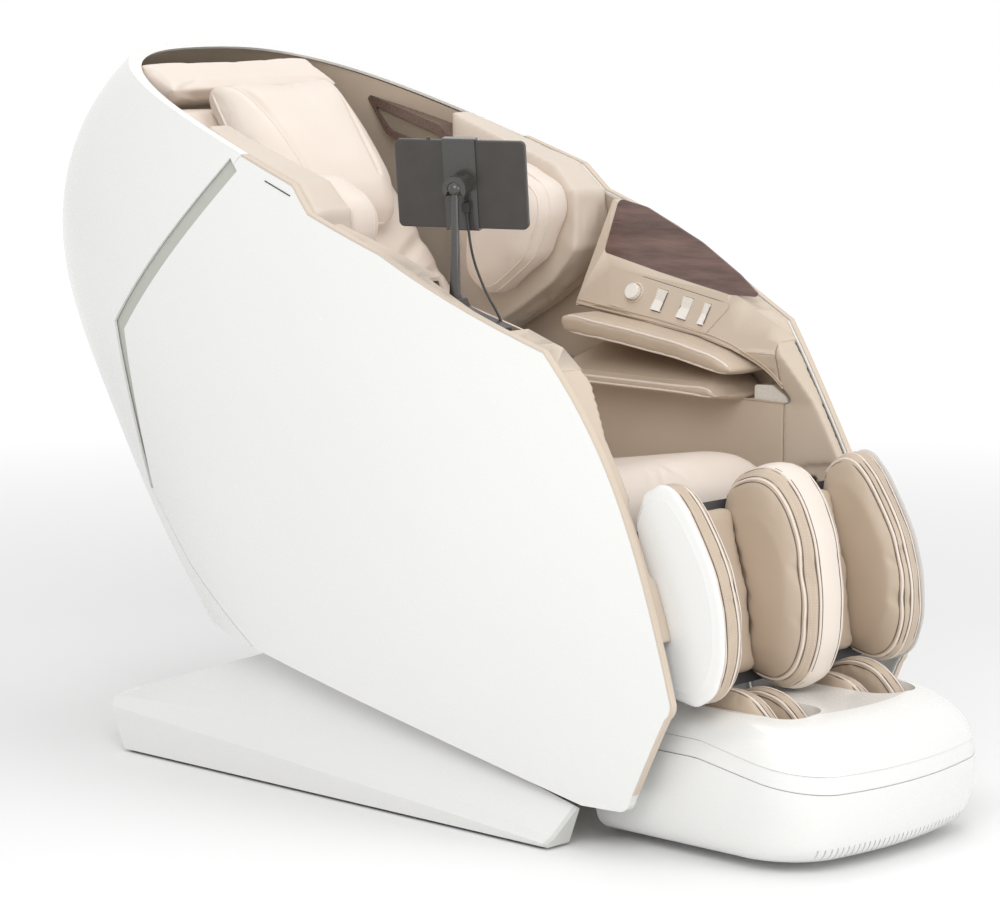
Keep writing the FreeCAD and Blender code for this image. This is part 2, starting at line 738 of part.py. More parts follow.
# Tunnel for the forearm: its ceiling follows the lip
TUNNEL = [(S.arm_rear_y + 2, S.lip_z + 7), (-183, S.lip_z - 10), (-293, S.lip_z - 23),
          (-379, S.lip_z - 41), (-443, S.lip_z - 69), (S.tunnel_front_y, S.ledge_z + 12),
          (S.tunnel_front_y, S.ledge_z), (S.arm_rear_y + 2, S.ledge_z)]
TUNNEL_RADII = [0, 60, 60, 40, 30, 6, 3, 0]
ARM_LOW = 340.0


def arm_section(wall):
    """Side outline of the armrest, drawn in by the wall, without its curved top."""
    rear = S.arm_rear_y - wall
    corners = [(rear, S.ledge_z - wall), (S.side_rear_y - wall, S.ledge_z - wall),
               (S.side_rear_y - wall, ARM_LOW + wall), (-REAR_LIMIT, ARM_LOW + wall),
               (-REAR_LIMIT, HIGH), (rear - 118, HIGH), (rear - 20, 960 - wall), (rear, S.lip_z + 19)]
    return side_prism(corners, 0, 0, WIDE)


def arm_faces(wall):
    """Front outline of the armrest on the left side: ledge, lip and leaning face."""
    inner = S.arm_inner + wall
    lip_low = S.lip_z - 41
    corners = [(inner, ARM_LOW), (inner, S.ledge_z), (face_x(lip_low, wall), lip_low),
               (face_x(1060, wall), 1060), (WIDE, 1060), (WIDE, ARM_LOW)]
    return front_prism(corners, [0, 0, 8, 0, 0, 0], -REAR_LIMIT, REAR_LIMIT)


# Top lines of the armrests: the right one is low, for the tablet holder's shelf
ARM_TOP_LEFT = [(110, 990), (-60, 953), (-179, 929), (-276, 901), (-372, 845), (-425, 798),
                (-520, 698)]
ARM_TOP_RIGHT = [(110, 988), (-60, 929), (-140, 899), (-218, 866), (-300, 840), (-372, 819),
                 (-430, 791), (-520, 700)]


def below_line(points, shift_y, shift_z):
    """Everything below a smooth top line through the points, moved by the shift."""
    line = Part.BSplineCurve()
    line.interpolate([V(-WIDE, y + shift_y, z + shift_z) for y, z in points])
    rear, front = line.value(line.FirstParameter), line.value(line.LastParameter)
    floor_front = V(-WIDE, -REAR_LIMIT, 0)
    floor_rear = V(-WIDE, rear.y, 0)
    edges = [line.toShape()]
    for start, end in ((front, V(-WIDE, -REAR_LIMIT, front.z - 400)),
                       (V(-WIDE, -REAR_LIMIT, front.z - 400), floor_front),
                       (floor_front, floor_rear), (floor_rear, rear)):
        edges.append(Part.LineSegment(start, end).toShape())
    return prism(Part.Wire(edges), V(2 * WIDE, 0, 0))


def arm_block(wall, top_line):
    """The armrest drawn in by its wall thickness, still solid and without openings."""
    top = below_line(top_line, RIM_IN.y * wall, RIM_IN.z * wall)
    front = capsule_prism(S.arm_front + wall, 0)
    return arm_section(wall).common(arm_faces(wall)).common(top).common(front)


tunnel_room = side_prism(TUNNEL, TUNNEL_RADII, 200, S.tunnel_half).common(tunnel_egg)
TUNNEL_WALL = [(y + dy * S.liner_wall, z + dz * S.liner_wall) for (y, z), (dy, dz) in zip(
    TUNNEL, ((0, 1), (0, 1), (-0.1, 1), (-0.3, 1), (-0.6, 0.8), (-1, 0.2), (-1, -1), (0, -1)))]
tunnel_case = side_prism(TUNNEL_WALL, TUNNEL_RADII, 200, S.tunnel_half + S.liner_wall)


def armrest(top_line):
    """A hollow armrest on the left side, with its arm tunnel."""
    hollow = arm_block(S.liner_wall, top_line).cut(tunnel_case)
    return arm_block(0, top_line).common(lining_egg).cut(hollow).cut(tunnel_room)


# Wood inlay, let into the leaning face
INLAY = [(-43, 944), (-110, 933), (-250, 883), (-350, 836), (-407, 803), (-340, 803), (-179, 829),
         (-43, 854)]
INLAY_RADII = [9, 80, 200, 150, 4, 40, 200, 9]
inlay = side_prism(INLAY, INLAY_RADII, 200, WIDE).common(face_band(770, 980, 0, S.inlay_thick))
seat_corners = inset_corners(INLAY, -S.fit_gap)[0]
inlay_seat = side_prism(seat_corners, INLAY_RADII, 200, WIDE).common(
    face_band(740, 1000, -5, S.inlay_thick + S.fit_gap))
# On the right the inlay ends behind the shelf for the tablet holder, and below the lower top line
SHELF_REAR = -218.0
SHELF_FRONT = -378.0
INLAY_DROP = 10.0
short_inlay = inlay.common(block(0, WIDE, SHELF_REAR + 4 + S.fit_gap, 0, 0, HIGH)).common(
    below_line(ARM_TOP_RIGHT, 0, -INLAY_DROP - S.fit_gap))
short_seat = inlay_seat.common(block(0, WIDE, SHELF_REAR + 4, 0, 0, HIGH)).common(
    below_line(ARM_TOP_RIGHT, 0, -INLAY_DROP))
keep("wood_inlays", Part.makeCompound([inlay, other_side(short_inlay)]))

# Control panel in the left armrest. Its frame lies on the leaning face: u forwards, v up
lean_up = V(S.lean, 0, 1).normalize()
forward = V(0, -1, 0)
tilt = math.radians(S.panel_tilt)
panel_along = forward * math.cos(tilt) - lean_up * math.sin(tilt)
panel_up = lean_up * math.cos(tilt) + forward * math.sin(tilt)
panel_frame = Frame(V(face_x(S.panel_z), S.panel_y, S.panel_z), panel_along, panel_up)
PANEL = [(-134, 31), (157, 29), (128, -31), (-98, -33)]
PANEL_RADII = [S.panel_corner] * 4
grown_panel = inset_corners(PANEL, -S.fit_gap)[0]
panel_seat = prism(closed_wire(grown_panel, PANEL_RADII, panel_frame.level(-S.panel_deep - S.fit_gap)),
                   panel_frame.out * (S.panel_deep + 20))
keep("armrest_left", armrest(ARM_TOP_LEFT).cut(inlay_seat).cut(panel_seat))

panel = new_body("control_panel")
pad_polygon(panel, "XY_Plane", "panel_plate", "-sizes.panel_deep",
            [(str(u), str(v)) for u, v in PANEL], "sizes.panel_deep + sizes.panel_proud")
panel.Placement = TO_ORIGIN * panel_frame.placement()
doc.recompute()
plate = panel.Tip
rounding = panel.newObject("PartDesign::Fillet", "panel_corners")
rounding.Base = (plate, ["Edge%d" % number for number, edge in enumerate(plate.Shape.Edges, 1)
                         if abs(edge.tangentAt(edge.FirstParameter).z) > 0.99])
rounding.setExpression("Radius", "sizes.panel_corner")
doc.recompute()
ROCKERS = (("rocker_1", S.rocker_wide, 6), ("rocker_2", S.rocker_wide, 66),
           ("rocker_3", S.rocker_narrow, 111))
for name, wide, u in ROCKERS:
    half = wide / 2 + S.rocker_gap
    sketch = sketch_on(panel, "XY_Plane", name + "_well_sketch", "sizes.panel_proud")
    draw_outline(sketch, rectangle("%g" % (u - half), "%g" % (u + half),
                                   "-sizes.rocker_long / 2 - 2 * sizes.rocker_gap",
                                   "sizes.rocker_long / 2 + 2 * sizes.rocker_gap"))
    well = panel.newObject("PartDesign::Pocket", name + "_well")
    well.Profile = sketch
    well.setExpression("Length", "sizes.panel_deep + sizes.panel_proud - 2")
    sketch = sketch_on(panel, "YZ_Plane", name + "_bearing_sketch", "%g" % (u - half - 3))
    draw_circle(sketch, "0", "-sizes.rocker_pivot", "sizes.rocker_pin + sizes.running_gap")
    bearing = panel.newObject("PartDesign::Pocket", name + "_bearing")
    bearing.Profile = sketch
    bearing.Reversed = True
    bearing.setExpression("Length", "%g" % (2 * half + 6))
sketch = sketch_on(panel, "XY_Plane", "knob_hole_sketch", "sizes.panel_proud")
draw_circle(sketch, "sizes.knob_u", "0", "sizes.knob_shaft + sizes.running_gap")
knob_hole = panel.newObject("PartDesign::Pocket", "knob_hole")
knob_hole.Profile = sketch
knob_hole.setExpression("Length", "sizes.panel_deep + sizes.panel_proud - 2")
doc.recompute()

# Rockers: a two lobed key on a cross pin
for name, wide, u in ROCKERS:
    rocker = new_body(name)
    half_long = "sizes.rocker_long / 2"
    pad_polygon(rocker, "YZ_Plane", name + "_key", "%g" % (u - wide / 2),
                [("-%s" % half_long, "-sizes.rocker_pivot - 4"),
                 (half_long, "-sizes.rocker_pivot - 4"),
                 (half_long, "sizes.rocker_proud"), ("0", "sizes.rocker_proud - 2.5"),
                 ("-%s" % half_long, "sizes.rocker_proud")], "%g" % wide)
    pad_circle(rocker, "YZ_Plane", name + "_pin", "%g" % (u - wide / 2 - S.rocker_gap - 2.7), "0",
               "-sizes.rocker_pivot", "sizes.rocker_pin", "%g" % (wide + 2 * S.rocker_gap + 5.4))
    rocker.Placement = TO_ORIGIN * panel_frame.placement()

# Knob: a turned cap with a milled edge, on a short shaft
knob_low = S.panel_proud + S.fit_gap
knob_base = panel_frame.at(S.knob_u, 0, knob_low)
knob = rod(knob_base, knob_base + panel_frame.out * S.knob_tall, S.knob_radius)
knob = knob.makeChamfer(1.2, [edge for edge in knob.Edges
                              if abs((edge.CenterOfMass - knob_base).Length - S.knob_tall) < 0.5])
for i in range(12):
    turn = 2 * math.pi * i / 12
    radius = S.knob_radius + 0.6
    low = panel_frame.at(S.knob_u + radius * math.cos(turn), radius * math.sin(turn), knob_low)
    knob = knob.cut(rod(low, low + panel_frame.out * S.knob_tall, 1.4))
shaft_low = panel_frame.at(S.knob_u, 0, 2.5 - S.panel_deep)
keep("control_knob", knob.fuse(rod(shaft_low, knob_base, S.knob_shaft)))


# Right armrest: a shelf for the tablet holder's tray
def shelf_z(y):
    return S.shelf_z + (y - S.stalk_y) * S.shelf_slope


shelf_room = side_prism([(SHELF_REAR, HIGH), (SHELF_REAR, shelf_z(SHELF_REAR)),
                         (SHELF_FRONT, shelf_z(SHELF_FRONT)), (SHELF_FRONT, HIGH)], 0,
                        -S.shelf_outer, -S.shelf_inner)
hole_top = V(-285, -340, shelf_z(-340))
cable_hole = rod(hole_top + V(0, 4, 14), hole_top - V(0, 4, 14), S.cable_radius + S.relief_wall)
arm_right = other_side(armrest(ARM_TOP_RIGHT).cut(short_seat)).cut(shelf_room)
keep("armrest_right", arm_right.cut(cable_hole))

# Headrest wings: padded fins on both sides of the head, cut to the liner
wing_top = capsule_prism(-0.34 * S.wing_crown, 0.94 * S.wing_crown)
wing_side = side_prism([(S.wing_front_y, 857), (S.wing_front_y, HIGH), (300, HIGH), (300, 740),
                        (230, 690), (139, 740), (57, 793)], [12, 0, 0, 30, 20, 40, 40],
                       S.wing_inner, WIDE)
wing_egg = egg(S.rim_rear + S.fit_gap, LINING)
wing = wing_side.common(wing_top).common(wing_egg)
keep("headrest_wings", both_sides(wing))

# Speakers: a dark bezel and a mesh panel in the liner beside the head
SPEAKER = [(525, 1109), (337, 1057), (302, 1030), (300, 985), (470, 1035)]
SPEAKER_RADII = [6, 14, 12, 8, 30]
GRILLE = [(505, 1088), (345, 1042), (318, 1024), (316, 1003), (462, 1044)]
GRILLE_RADII = [4, 10, 8, 6, 20]
speaker = side_prism(SPEAKER, SPEAKER_RADII, S.speaker_inner, WIDE).common(lining_egg)
window = side_prism(GRILLE, GRILLE_RADII, S.speaker_inner - 10, S.speaker_inner + S.grille_deep)
keep("speaker_frames", both_sides(speaker.cut(window)))
drawn_grille = inset_corners(GRILLE, S.fit_gap)[0]
grille_x = S.speaker_inner + S.grille_deep - S.grille_thick - S.fit_gap
keep("speaker_grilles", both_sides(
    side_prism(drawn_grille, GRILLE_RADII, grille_x, grille_x + S.grille_thick).common(lining_egg)))


# Back frame: s runs up along the front of the back cushion, w out of it
back_low = V(0, S.back_low_y, S.back_low_z)
back_up = V(0, S.back_top_y - S.back_low_y, S.back_top_z - S.back_low_z)
back_long = back_up.Length
back = Frame(back_low, V(1, 0, 0), back_up)
if back.out.y > 0:
    back = Frame(back_low, V(-1, 0, 0), back_up)


def back_side(corners, radii, x_from, x_to):
    """Outline (s, w) in the side view of the back frame, made solid from x_from to x_to."""
    def lift(s, w):
        point = back.at(0, s, w)
        return V(x_from, point.y, point.z)
    return prism(closed_wire(corners, radii, lift), V(x_to - x_from, 0, 0))


half = S.back_half
back_floor = Frame(back.at(0, 0, -S.back_thick), back.along, back_up)
back_cushion = cushion(back_floor, [(-half, 0), (half, 0), (half, back_long), (-half, back_long)],
                       [40, 40, 60, 60], crown(S.back_thick, 10))
# Sewn channels, from the middle up and outwards
for i in range(6):
    start_s = S.channel_first + i * S.channel_pitch
    for side in (-1, 1):
        start = back.at(0, start_s, S.channel_radius - S.channel_deep)
        end = back.at(side * (half + 20), start_s + S.channel_rise, S.channel_radius - S.channel_deep)
        back_cushion = back_cushion.cut(rod(start, end, S.channel_radius))
keep("back_cushion", back_cushion)

# Pillow: a lens shaped pad that hangs over the head end of the back
pillow_floor = Frame(back.at(0, 0, S.fit_gap), back.along, back_up)
low, high = S.pillow_low, S.pillow_low + S.pillow_tall
PILLOW = [(-120, low), (120, low), (157, low + 80), (157, high - 110), (146, high),
          (-146, high), (-157, high - 110), (-157, low + 80)]
keep("pillow", cushion(pillow_floor, PILLOW, [50, 50, 60, 80, 18, 18, 80, 60],
                       ((0, 26), (16, 8), (34, 0), (48, 3), (66, 20), (80, 42), (88, 66), (92, 95))))

# Panel behind the pillow
top_panel = side_prism([(506, 1129), (592, 1172), (618, 1166), (606, 1112), (566, 1096)],
                       [4, 14, 10, 10, 6], -S.top_panel_half, S.top_panel_half)
keep("back_top_panel", top_panel.common(wing_egg))

# Seat cushion: frame u to the rear, v across
seat_front = V(0, S.seat_front_y, S.seat_front_z - S.seat_thick)
seat_along = V(0, S.seat_rear_y - S.seat_front_y, S.seat_rear_z - S.seat_front_z)
seat_long = seat_along.Length
seat = Frame(seat_front, V(1, 0, 0), seat_along)
half = S.seat_half
keep("seat_cushion", cushion(seat, [(-half, 0), (half, 0), (half, seat_long), (-half, seat_long)],
                             [30, 30, 30, 30],
                             ((0, 8), (20, 1), (56, 0), (84, 6), (106, 22), (121, 46), (130, 84))))


def seat_bottom(y):
    """Height of the underside of the seat cushion."""
    return seat_front.z + (y - S.seat_front_y) * seat_along.z / seat_along.y


# Shoulder pads on the wings
SHOULDER = [(187, 1008), (92, 1006), (14, 970), (4, 926), (45, 842), (151, 764), (205, 800)]
SHOULDER_RADII = [30, 60, 40, 60, 70, 40, 40]
pad_frame = Frame(V(S.wing_inner - S.fit_gap, 0, 0), V(0, 1, 0), V(0, 0, -1))
SHOULDER = [(y, -z) for y, z in SHOULDER]
shoulder_pad = cushion(pad_frame, SHOULDER, SHOULDER_RADII,
                       ((0, 14), (14, 3), (34, 0), (56, 3), (74, 16), (86, 34), (92, 58)))
keep("shoulder_pads", both_sides(shoulder_pad))

# Pads inside the arm tunnels, above and below the forearm
UPPER_PAD = [(-34, S.lip_z - 1), (-183, S.lip_z - 15), (-293, S.lip_z - 29), (-372, S.lip_z - 47),
             (-432, S.lip_z - 72), (-400, S.lip_z - 76), (-293, S.lip_z - 55),
             (-183, S.lip_z - 42), (-46, S.lip_z - 28)]
upper_pad = side_prism(UPPER_PAD, [8, 40, 40, 40, 4, 30, 40, 40, 8], S.arm_pad_inner, S.tunnel_half - 0.5)
keep("arm_pads_upper", both_sides(upper_pad.common(tunnel_pad_egg)))
lower_side = side_prism([(-4, S.ledge_z), (-4, 704), (-230, 696), (-340, 676), (-392, 642),
                         (-392, S.ledge_z)], [0, 20, 60, 60, 6, 0], S.arm_pad_inner, S.tunnel_half)
ledge = S.ledge_z + S.fit_gap
lower_front = front_prism([(S.arm_pad_inner, ledge + 11), (S.arm_pad_inner, ledge + 20),
                           (S.tunnel_half - 4, 700), (S.tunnel_half - 4, ledge),
                           (S.arm_inner + 4, ledge)], [4, 4, 10, 4, 20], -REAR_LIMIT, REAR_LIMIT)
keep("arm_pads_lower", both_sides(lower_side.common(lower_front).common(tunnel_pad_egg)))
hand_rest = side_prism([(-398, ledge), (-398, ledge + 24), (-436, ledge + 26), (-464, ledge + 10),
                        (-468, ledge)], [0, 5, 10, 3, 0], S.arm_inner + 8, S.tunnel_half - 6)
keep("hand_rests", both_sides(hand_rest.common(tunnel_pad_egg)))

# Seat structure: two side plates that carry the tilt pivot, the knee and the drive's upper pin
plate_top = S.fit_gap
PLATE = [(S.knee_y, S.knee_z + 16), (-514, 476), (-508, seat_bottom(-508) - plate_top),
         (S.seat_rear_y, seat_bottom(S.seat_rear_y) - plate_top), (12, 388), (72, 452), (140, 414),
         (152, 330), (S.tilt_y + 26, S.tilt_z + 22), (S.tilt_y + 22, S.tilt_z - 22),
         (S.tilt_y - 22, S.tilt_z - 22), (-60, 268), (-470, 398), (S.knee_y, S.knee_z - 16)]
PLATE_RADII = [0, 4, 4, 4, 20, 8, 14, 20, 10, 14, 14, 60, 60, 0]


def seat_plate(x_from, x_to):
    plate = side_prism(PLATE, PLATE_RADII, x_from, x_to)
    plate = plate.fuse(cross_rod(S.knee_y, S.knee_z, S.knee_boss, x_from, x_to))
    plate = plate.cut(cross_rod(S.knee_y, S.knee_z, S.knee_radius + S.running_gap, x_from, x_to))
    plate = plate.cut(cross_rod(S.tilt_y, S.tilt_z, S.tilt_pin_radius + S.running_gap, x_from, x_to))
    for y_from, y_to in ((-440, -330), (-280, -120)):
        corners = [(y_from, seat_bottom(y_from) - 16), (y_to, seat_bottom(y_to) - 16),
                   (y_to, 300 - 0.29 * (y_to + 60)), (y_from, 300 - 0.29 * (y_from + 60))]
        if corners[0][1] - corners[3][1] > 24:
            plate = plate.cut(side_prism(corners, 10, x_from, x_to))
    return plate


outer_x = S.plate_half + S.plate_thick
keep("seat_side_plates", both_sides(seat_plate(S.plate_half, outer_x)))

# Cross tubes between the plates, arms from the plates to the armrests, and the drive's upper pin
def cross_tube(y, z, x_from, x_to):
    tube = cross_rod(y, z, S.tube_radius, x_from, x_to)
    return tube.cut(cross_rod(y, z, S.tube_radius - S.tube_wall, x_from, x_to))


def under_pan(y):
    """Height of the middle of a tube that the seat pan rests on."""
    return seat_bottom(y) - plate_top - S.pan_thick - S.tube_radius - S.fit_gap


tubes = [cross_tube(S.rear_tube_y, S.rear_tube_z, -S.plate_half, S.plate_half)]
for y in (-470, -110):
    tubes.append(cross_tube(y, under_pan(y), -S.plate_half, S.plate_half))
    arm = cross_tube(y, under_pan(y), outer_x, S.arm_inner)
    tubes += [arm, other_side(arm)]
tubes.append(cross_rod(S.rod_y, S.rod_z, S.rod_pin_radius, -S.plate_half, S.plate_half))
keep("cross_tubes", Part.makeCompound(tubes))

# Seat pan between the plates
PAN_FRONT, PAN_REAR = -486.0, -76.0
pan = side_prism([(PAN_FRONT, seat_bottom(PAN_FRONT) - plate_top),
                  (PAN_REAR, seat_bottom(PAN_REAR) - plate_top),
                  (PAN_REAR, seat_bottom(PAN_REAR) - plate_top - S.pan_thick),
                  (PAN_FRONT, seat_bottom(PAN_FRONT) - plate_top - S.pan_thick)], 0,
                 -S.plate_half, S.plate_half)
keep("seat_pan", pan)

# Back rails with their cross bars
rail_w = -S.back_thick - S.fit_gap
rail = back_side([(20, rail_w), (back_long + 36, rail_w), (back_long + 36, rail_w - 34),
                  (60, rail_w - 50), (20, rail_w - 50)], [6, 10, 10, 60, 6],
                 outer_x, outer_x + S.back_rail_thick)
bars = []
for s in (60, back_long + 10):
    centre = back.at(0, s, rail_w - 17)
    bars.append(cross_rod(centre.y, centre.z, 9, -outer_x, outer_x))
# Arms that carry the rear shell, ending at the liner
rail_room = egg(LINING)
for s, w_from, drop in ((400, rail_w - 40, 0.0), (back_long - 20, rail_w - 24, 0.1)):
    start = back.at(0, s, w_from)
    arm = side_prism([(start.y, start.z - 14), (REAR_LIMIT, start.z - 14 - 400 * drop),
                      (REAR_LIMIT, start.z + 8 - 400 * drop), (start.y, start.z + 14)], 0,
                     outer_x, outer_x + S.back_rail_thick)
    rail = rail.fuse(arm.common(rail_room))
keep("back_rails", rail.fuse(bars[0]).fuse(bars[1]).fuse(other_side(rail)))

# Massage carriage: it rides between the rails and carries the rollers on a cross shaft
home = S.carriage_home
rock_w = S.rock_w
carriage = back_side([(home - 70, rock_w - 15), (home + 70, rock_w - 15), (home + 70, rock_w - 27),
                      (home - 70, rock_w - 27)], [0, 0, 6, 6], -150, 150)
for side in (-1, 1):
    x_from, x_to = sorted((side * 136, side * 150))
    cheek = back_side([(home - 26, rock_w - 16), (home - 14, rock_w + 12), (home + 14, rock_w + 12),
                       (home + 26, rock_w - 16)], [0, 8, 8, 0], x_from, x_to)
    hole = back.at(0, home, rock_w)
    cheek = cheek.cut(cross_rod(hole.y, hole.z, 6 + S.running_gap, x_from, x_to))
    x_from, x_to = sorted((side * 140, side * (outer_x - S.fit_gap)))
    shoe = back_side([(home - 62, rock_w - 16), (home - 62, rail_w - 12), (home - 34, rail_w - 12),
                      (home - 34, rock_w - 16)], [0, 4, 4, 0], x_from, x_to)
    upper = back_side([(home + 34, rock_w - 16), (home + 34, rail_w - 12), (home + 62, rail_w - 12),
                       (home + 62, rock_w - 16)], [0, 4, 4, 0], x_from, x_to)
    carriage = carriage.fuse(cheek).fuse(shoe).fuse(upper)
keep("massage_carriage", carriage)

# Rollers: two arms on the cross shaft, with a barrel shaped roller at each end
def massage_roller(middle):
    """Barrel with a bulging rim, turned about the X axis."""
    radius = S.roller_radius
    outline = [V(-12, 0, 0), V(-12, radius - 9, 0), V(12, radius - 9, 0), V(12, 0, 0)]
    bulge = Part.Arc(outline[1], V(0, radius, 0), outline[2]).toShape()
    edges = [Part.LineSegment(outline[0], outline[1]).toShape(), bulge,
             Part.LineSegment(outline[2], outline[3]).toShape(),
             Part.LineSegment(outline[3], outline[0]).toShape()]
    barrel = Part.Face(Part.Wire(edges)).revolve(V(0, 0, 0), V(1, 0, 0), 360)
    barrel.translate(middle)
    return barrel


centre = back.at(0, home, rock_w)
rollers = cross_rod(centre.y, centre.z, 6, -149.7, 149.7)
for side in (-1, 1):
    x_from, x_to = sorted((side * 50, side * 58))
    arm = back_side([(home - 62, rock_w + 27), (home - 8, rock_w - 10), (home + 8, rock_w - 10),
                     (home + 62, rock_w + 27), (home + 48, rock_w + 33), (home, rock_w + 8),
                     (home - 48, rock_w + 33)], [5, 5, 5, 5, 5, 12, 5], x_from, x_to)
    rollers = rollers.fuse(arm)
    for end in (-1, 1):
        hub = back.at(0, home + end * 55, rock_w + 27)
        x_from, x_to = sorted((side * 50, side * 84))
        rollers = rollers.fuse(cross_rod(hub.y, hub.z, 5, x_from, x_to))
        rollers = rollers.fuse(massage_roller(V(side * 72, hub.y, hub.z)))
keep("massage_rollers", rollers)


# Base cover: two long skids and a sloping deck, open at the front between the skids
def deck_z(y):
    """Height of the deck's edge: it follows the capsule's lower edge, then falls to the rear."""
    if y <= S.neck_y:
        slope = (S.neck_z - S.sill_z) / (S.neck_y - S.sill_y)
        return S.sill_z + (y - S.sill_y) * slope - S.deck_gap
    share = (y - S.neck_y) / (S.deck_rear_y - S.neck_y)
    return deck_z(S.neck_y) + (S.deck_rear_z - deck_z(S.neck_y)) * share


BASE_STATIONS = ((-560, 6, 11), (-300, 25, 45), (S.neck_y, 55, 110), (S.deck_rear_y + 20, 78, 92))


def base_section(y, waist, crease, wall, low):
    """Cross section of the base at y: floor, waist, crease, deck edge and trough."""
    trough = S.trough_deep if y < 300 else S.trough_deep * 0.4
    half = S.base_half - wall
    right = [(half, low), (half + 4, waist), (half - 10, crease - wall / 2),
             (half - 46, deck_z(y) - wall), (half - 96, deck_z(y) - trough - wall)]
    corners = right + [(-x, z) for x, z in reversed(right)]
    return closed_wire(corners, 0, front_view(y))


def base_loft(wall, low):
    sections = [base_section(y, waist, crease, wall, low) for y, waist, crease in BASE_STATIONS]
    return Part.makeLoft(sections, True, True)


def base_length(front_step, rear_step):
    """Room between the leaning front and rear end faces, moved in by the steps."""
    front, rear = S.base_front_y + front_step, S.base_rear_y - rear_step
    front_lean, rear_lean = S.base_lean_front * 250, S.base_lean_rear * 250
    return side_prism([(front, 0), (rear, 0), (rear + rear_lean, 250), (front - front_lean, 250)], 0,
                      -WIDE, WIDE)


notch = block(-S.skid_half, S.skid_half, -700, S.skid_rear_y, -10, 300)
notch_wall = block(-S.skid_half - S.base_wall, S.skid_half + S.base_wall, -700,
                   S.skid_rear_y + S.base_wall, -10, 300)
base_body = base_loft(0, S.base_low)
room = base_loft(S.base_wall, -5).common(
    base_length(S.cap_thick + S.base_wall, S.base_wall)).cut(notch_wall)
shroud = base_body.common(base_length(S.cap_thick, 0)).cut(room).cut(notch)
for side in (-1, 1):
    x_from, x_to = sorted((side * (S.ear_inner - 4), side * (S.ear_inner + S.ear_thick + 4)))
    shroud = shroud.cut(block(x_from, x_to, S.tilt_y - 44, S.tilt_y + 44, 120, 300))
shroud = shroud.cut(block(-62, 62, S.skid_rear_y - 5, 10, 60, 300))
keep("base_shroud", shroud)

caps = base_body.common(base_length(0, 0).cut(base_length(S.cap_thick, 0))).cut(notch)
keep("skid_end_caps", caps.common(block(-WIDE, WIDE, -700, 0, 0, 300)))

# Base frame: welded rails, cross members, ears for the tilt pivot and for the drive, wheel stubs
frame = new_body("base_frame")
top = "sizes.frame_tall"
for side, sign in (("right", "-"), ("left", "")):
    def across(near, far):
        return ("%s(%s)" % (sign, near), "%s(%s)" % (sign, far))
    near, far = across("sizes.rail_half - sizes.rail_wide", "sizes.rail_half")
    pad_polygon(frame, "XY_Plane", "rail_" + side, "sizes.frame_low",
                rectangle(near, far, "-300", "460"), top)
    near, far = across("sizes.skid_half + 8", "sizes.skid_half + 28")
    pad_polygon(frame, "XY_Plane", "nose_" + side, "sizes.frame_low",
                rectangle(near, far, "-455", "-290"), "sizes.frame_tall - 10")
for name, y_from, y_to in (("front", "-275", "-235"), ("middle", "126", "214"), ("rear", "360", "400")):
    pad_polygon(frame, "XY_Plane", "member_" + name, "sizes.frame_low",
                rectangle("-(sizes.rail_half)", "sizes.rail_half", y_from, y_to), top)
doc.recompute()
PIVOT = ("sizes.tilt_y", "sizes.tilt_z")
EAR = [("sizes.tilt_y - 42", "sizes.frame_low + 10"), ("sizes.tilt_y + 42", "sizes.frame_low + 10"),
       ("sizes.tilt_y + 20", "sizes.tilt_z - 4"), ("sizes.tilt_y + 12", "sizes.tilt_z + 14"),
       ("sizes.tilt_y - 12", "sizes.tilt_z + 14"), ("sizes.tilt_y - 20", "sizes.tilt_z - 4")]
for side, offset in (("right", "-sizes.ear_inner - sizes.ear_thick"), ("left", "sizes.ear_inner")):
    pad_polygon(frame, "YZ_Plane", "ear_" + side, offset, EAR, "sizes.ear_thick")
for side, offset in (("right", "-sizes.plate_half - sizes.plate_thick - 4"), ("left", "sizes.ear_inner")):
    pad_circle(frame, "YZ_Plane", "pivot_pin_" + side, offset, PIVOT[0], PIVOT[1],
               "sizes.tilt_pin_radius",
               "sizes.plate_half + sizes.plate_thick + 4 - sizes.ear_inner")
MOTOR_EAR = [("sizes.motor_y - 16", "sizes.frame_low + 10"), ("sizes.motor_y + 16", "sizes.frame_low + 10"),
             ("sizes.motor_y + 14", "sizes.motor_z + 8"), ("sizes.motor_y + 6", "sizes.motor_z + 14"),
             ("sizes.motor_y - 6", "sizes.motor_z + 14"), ("sizes.motor_y - 14", "sizes.motor_z + 8")]
for side, offset in (("right", "-sizes.clevis_half - 6"), ("left", "sizes.clevis_half")):
    pad_polygon(frame, "YZ_Plane", "drive_ear_" + side, offset, MOTOR_EAR, "6")
pad_circle(frame, "YZ_Plane", "drive_pin", "-sizes.clevis_half - 6", "sizes.motor_y", "sizes.motor_z",
           "sizes.rod_pin_radius", "2 * sizes.clevis_half + 12")
for side, offset in (("right", "-sizes.rail_half + sizes.rail_wide / 2"),
                     ("left", "sizes.wheel_x - sizes.wheel_wide")):
    pad_circle(frame, "YZ_Plane", "wheel_stub_" + side, offset, "sizes.wheel_y", "sizes.wheel_z",
               "sizes.axle_radius",
               "sizes.rail_half - sizes.rail_wide / 2 - sizes.wheel_x + sizes.wheel_wide")
doc.recompute()

# Rubber feet under the rails
feet = []
for x, y in ((S.skid_half + 23, -440), (S.rail_half - S.rail_wide / 2, 410)):
    for side in (-1, 1):
        foot = Part.makeCone(S.foot_radius - 3, S.foot_radius, S.frame_low, V(side * x, y, 0))
        feet.append(foot)
keep("base_feet", Part.makeCompound(feet))

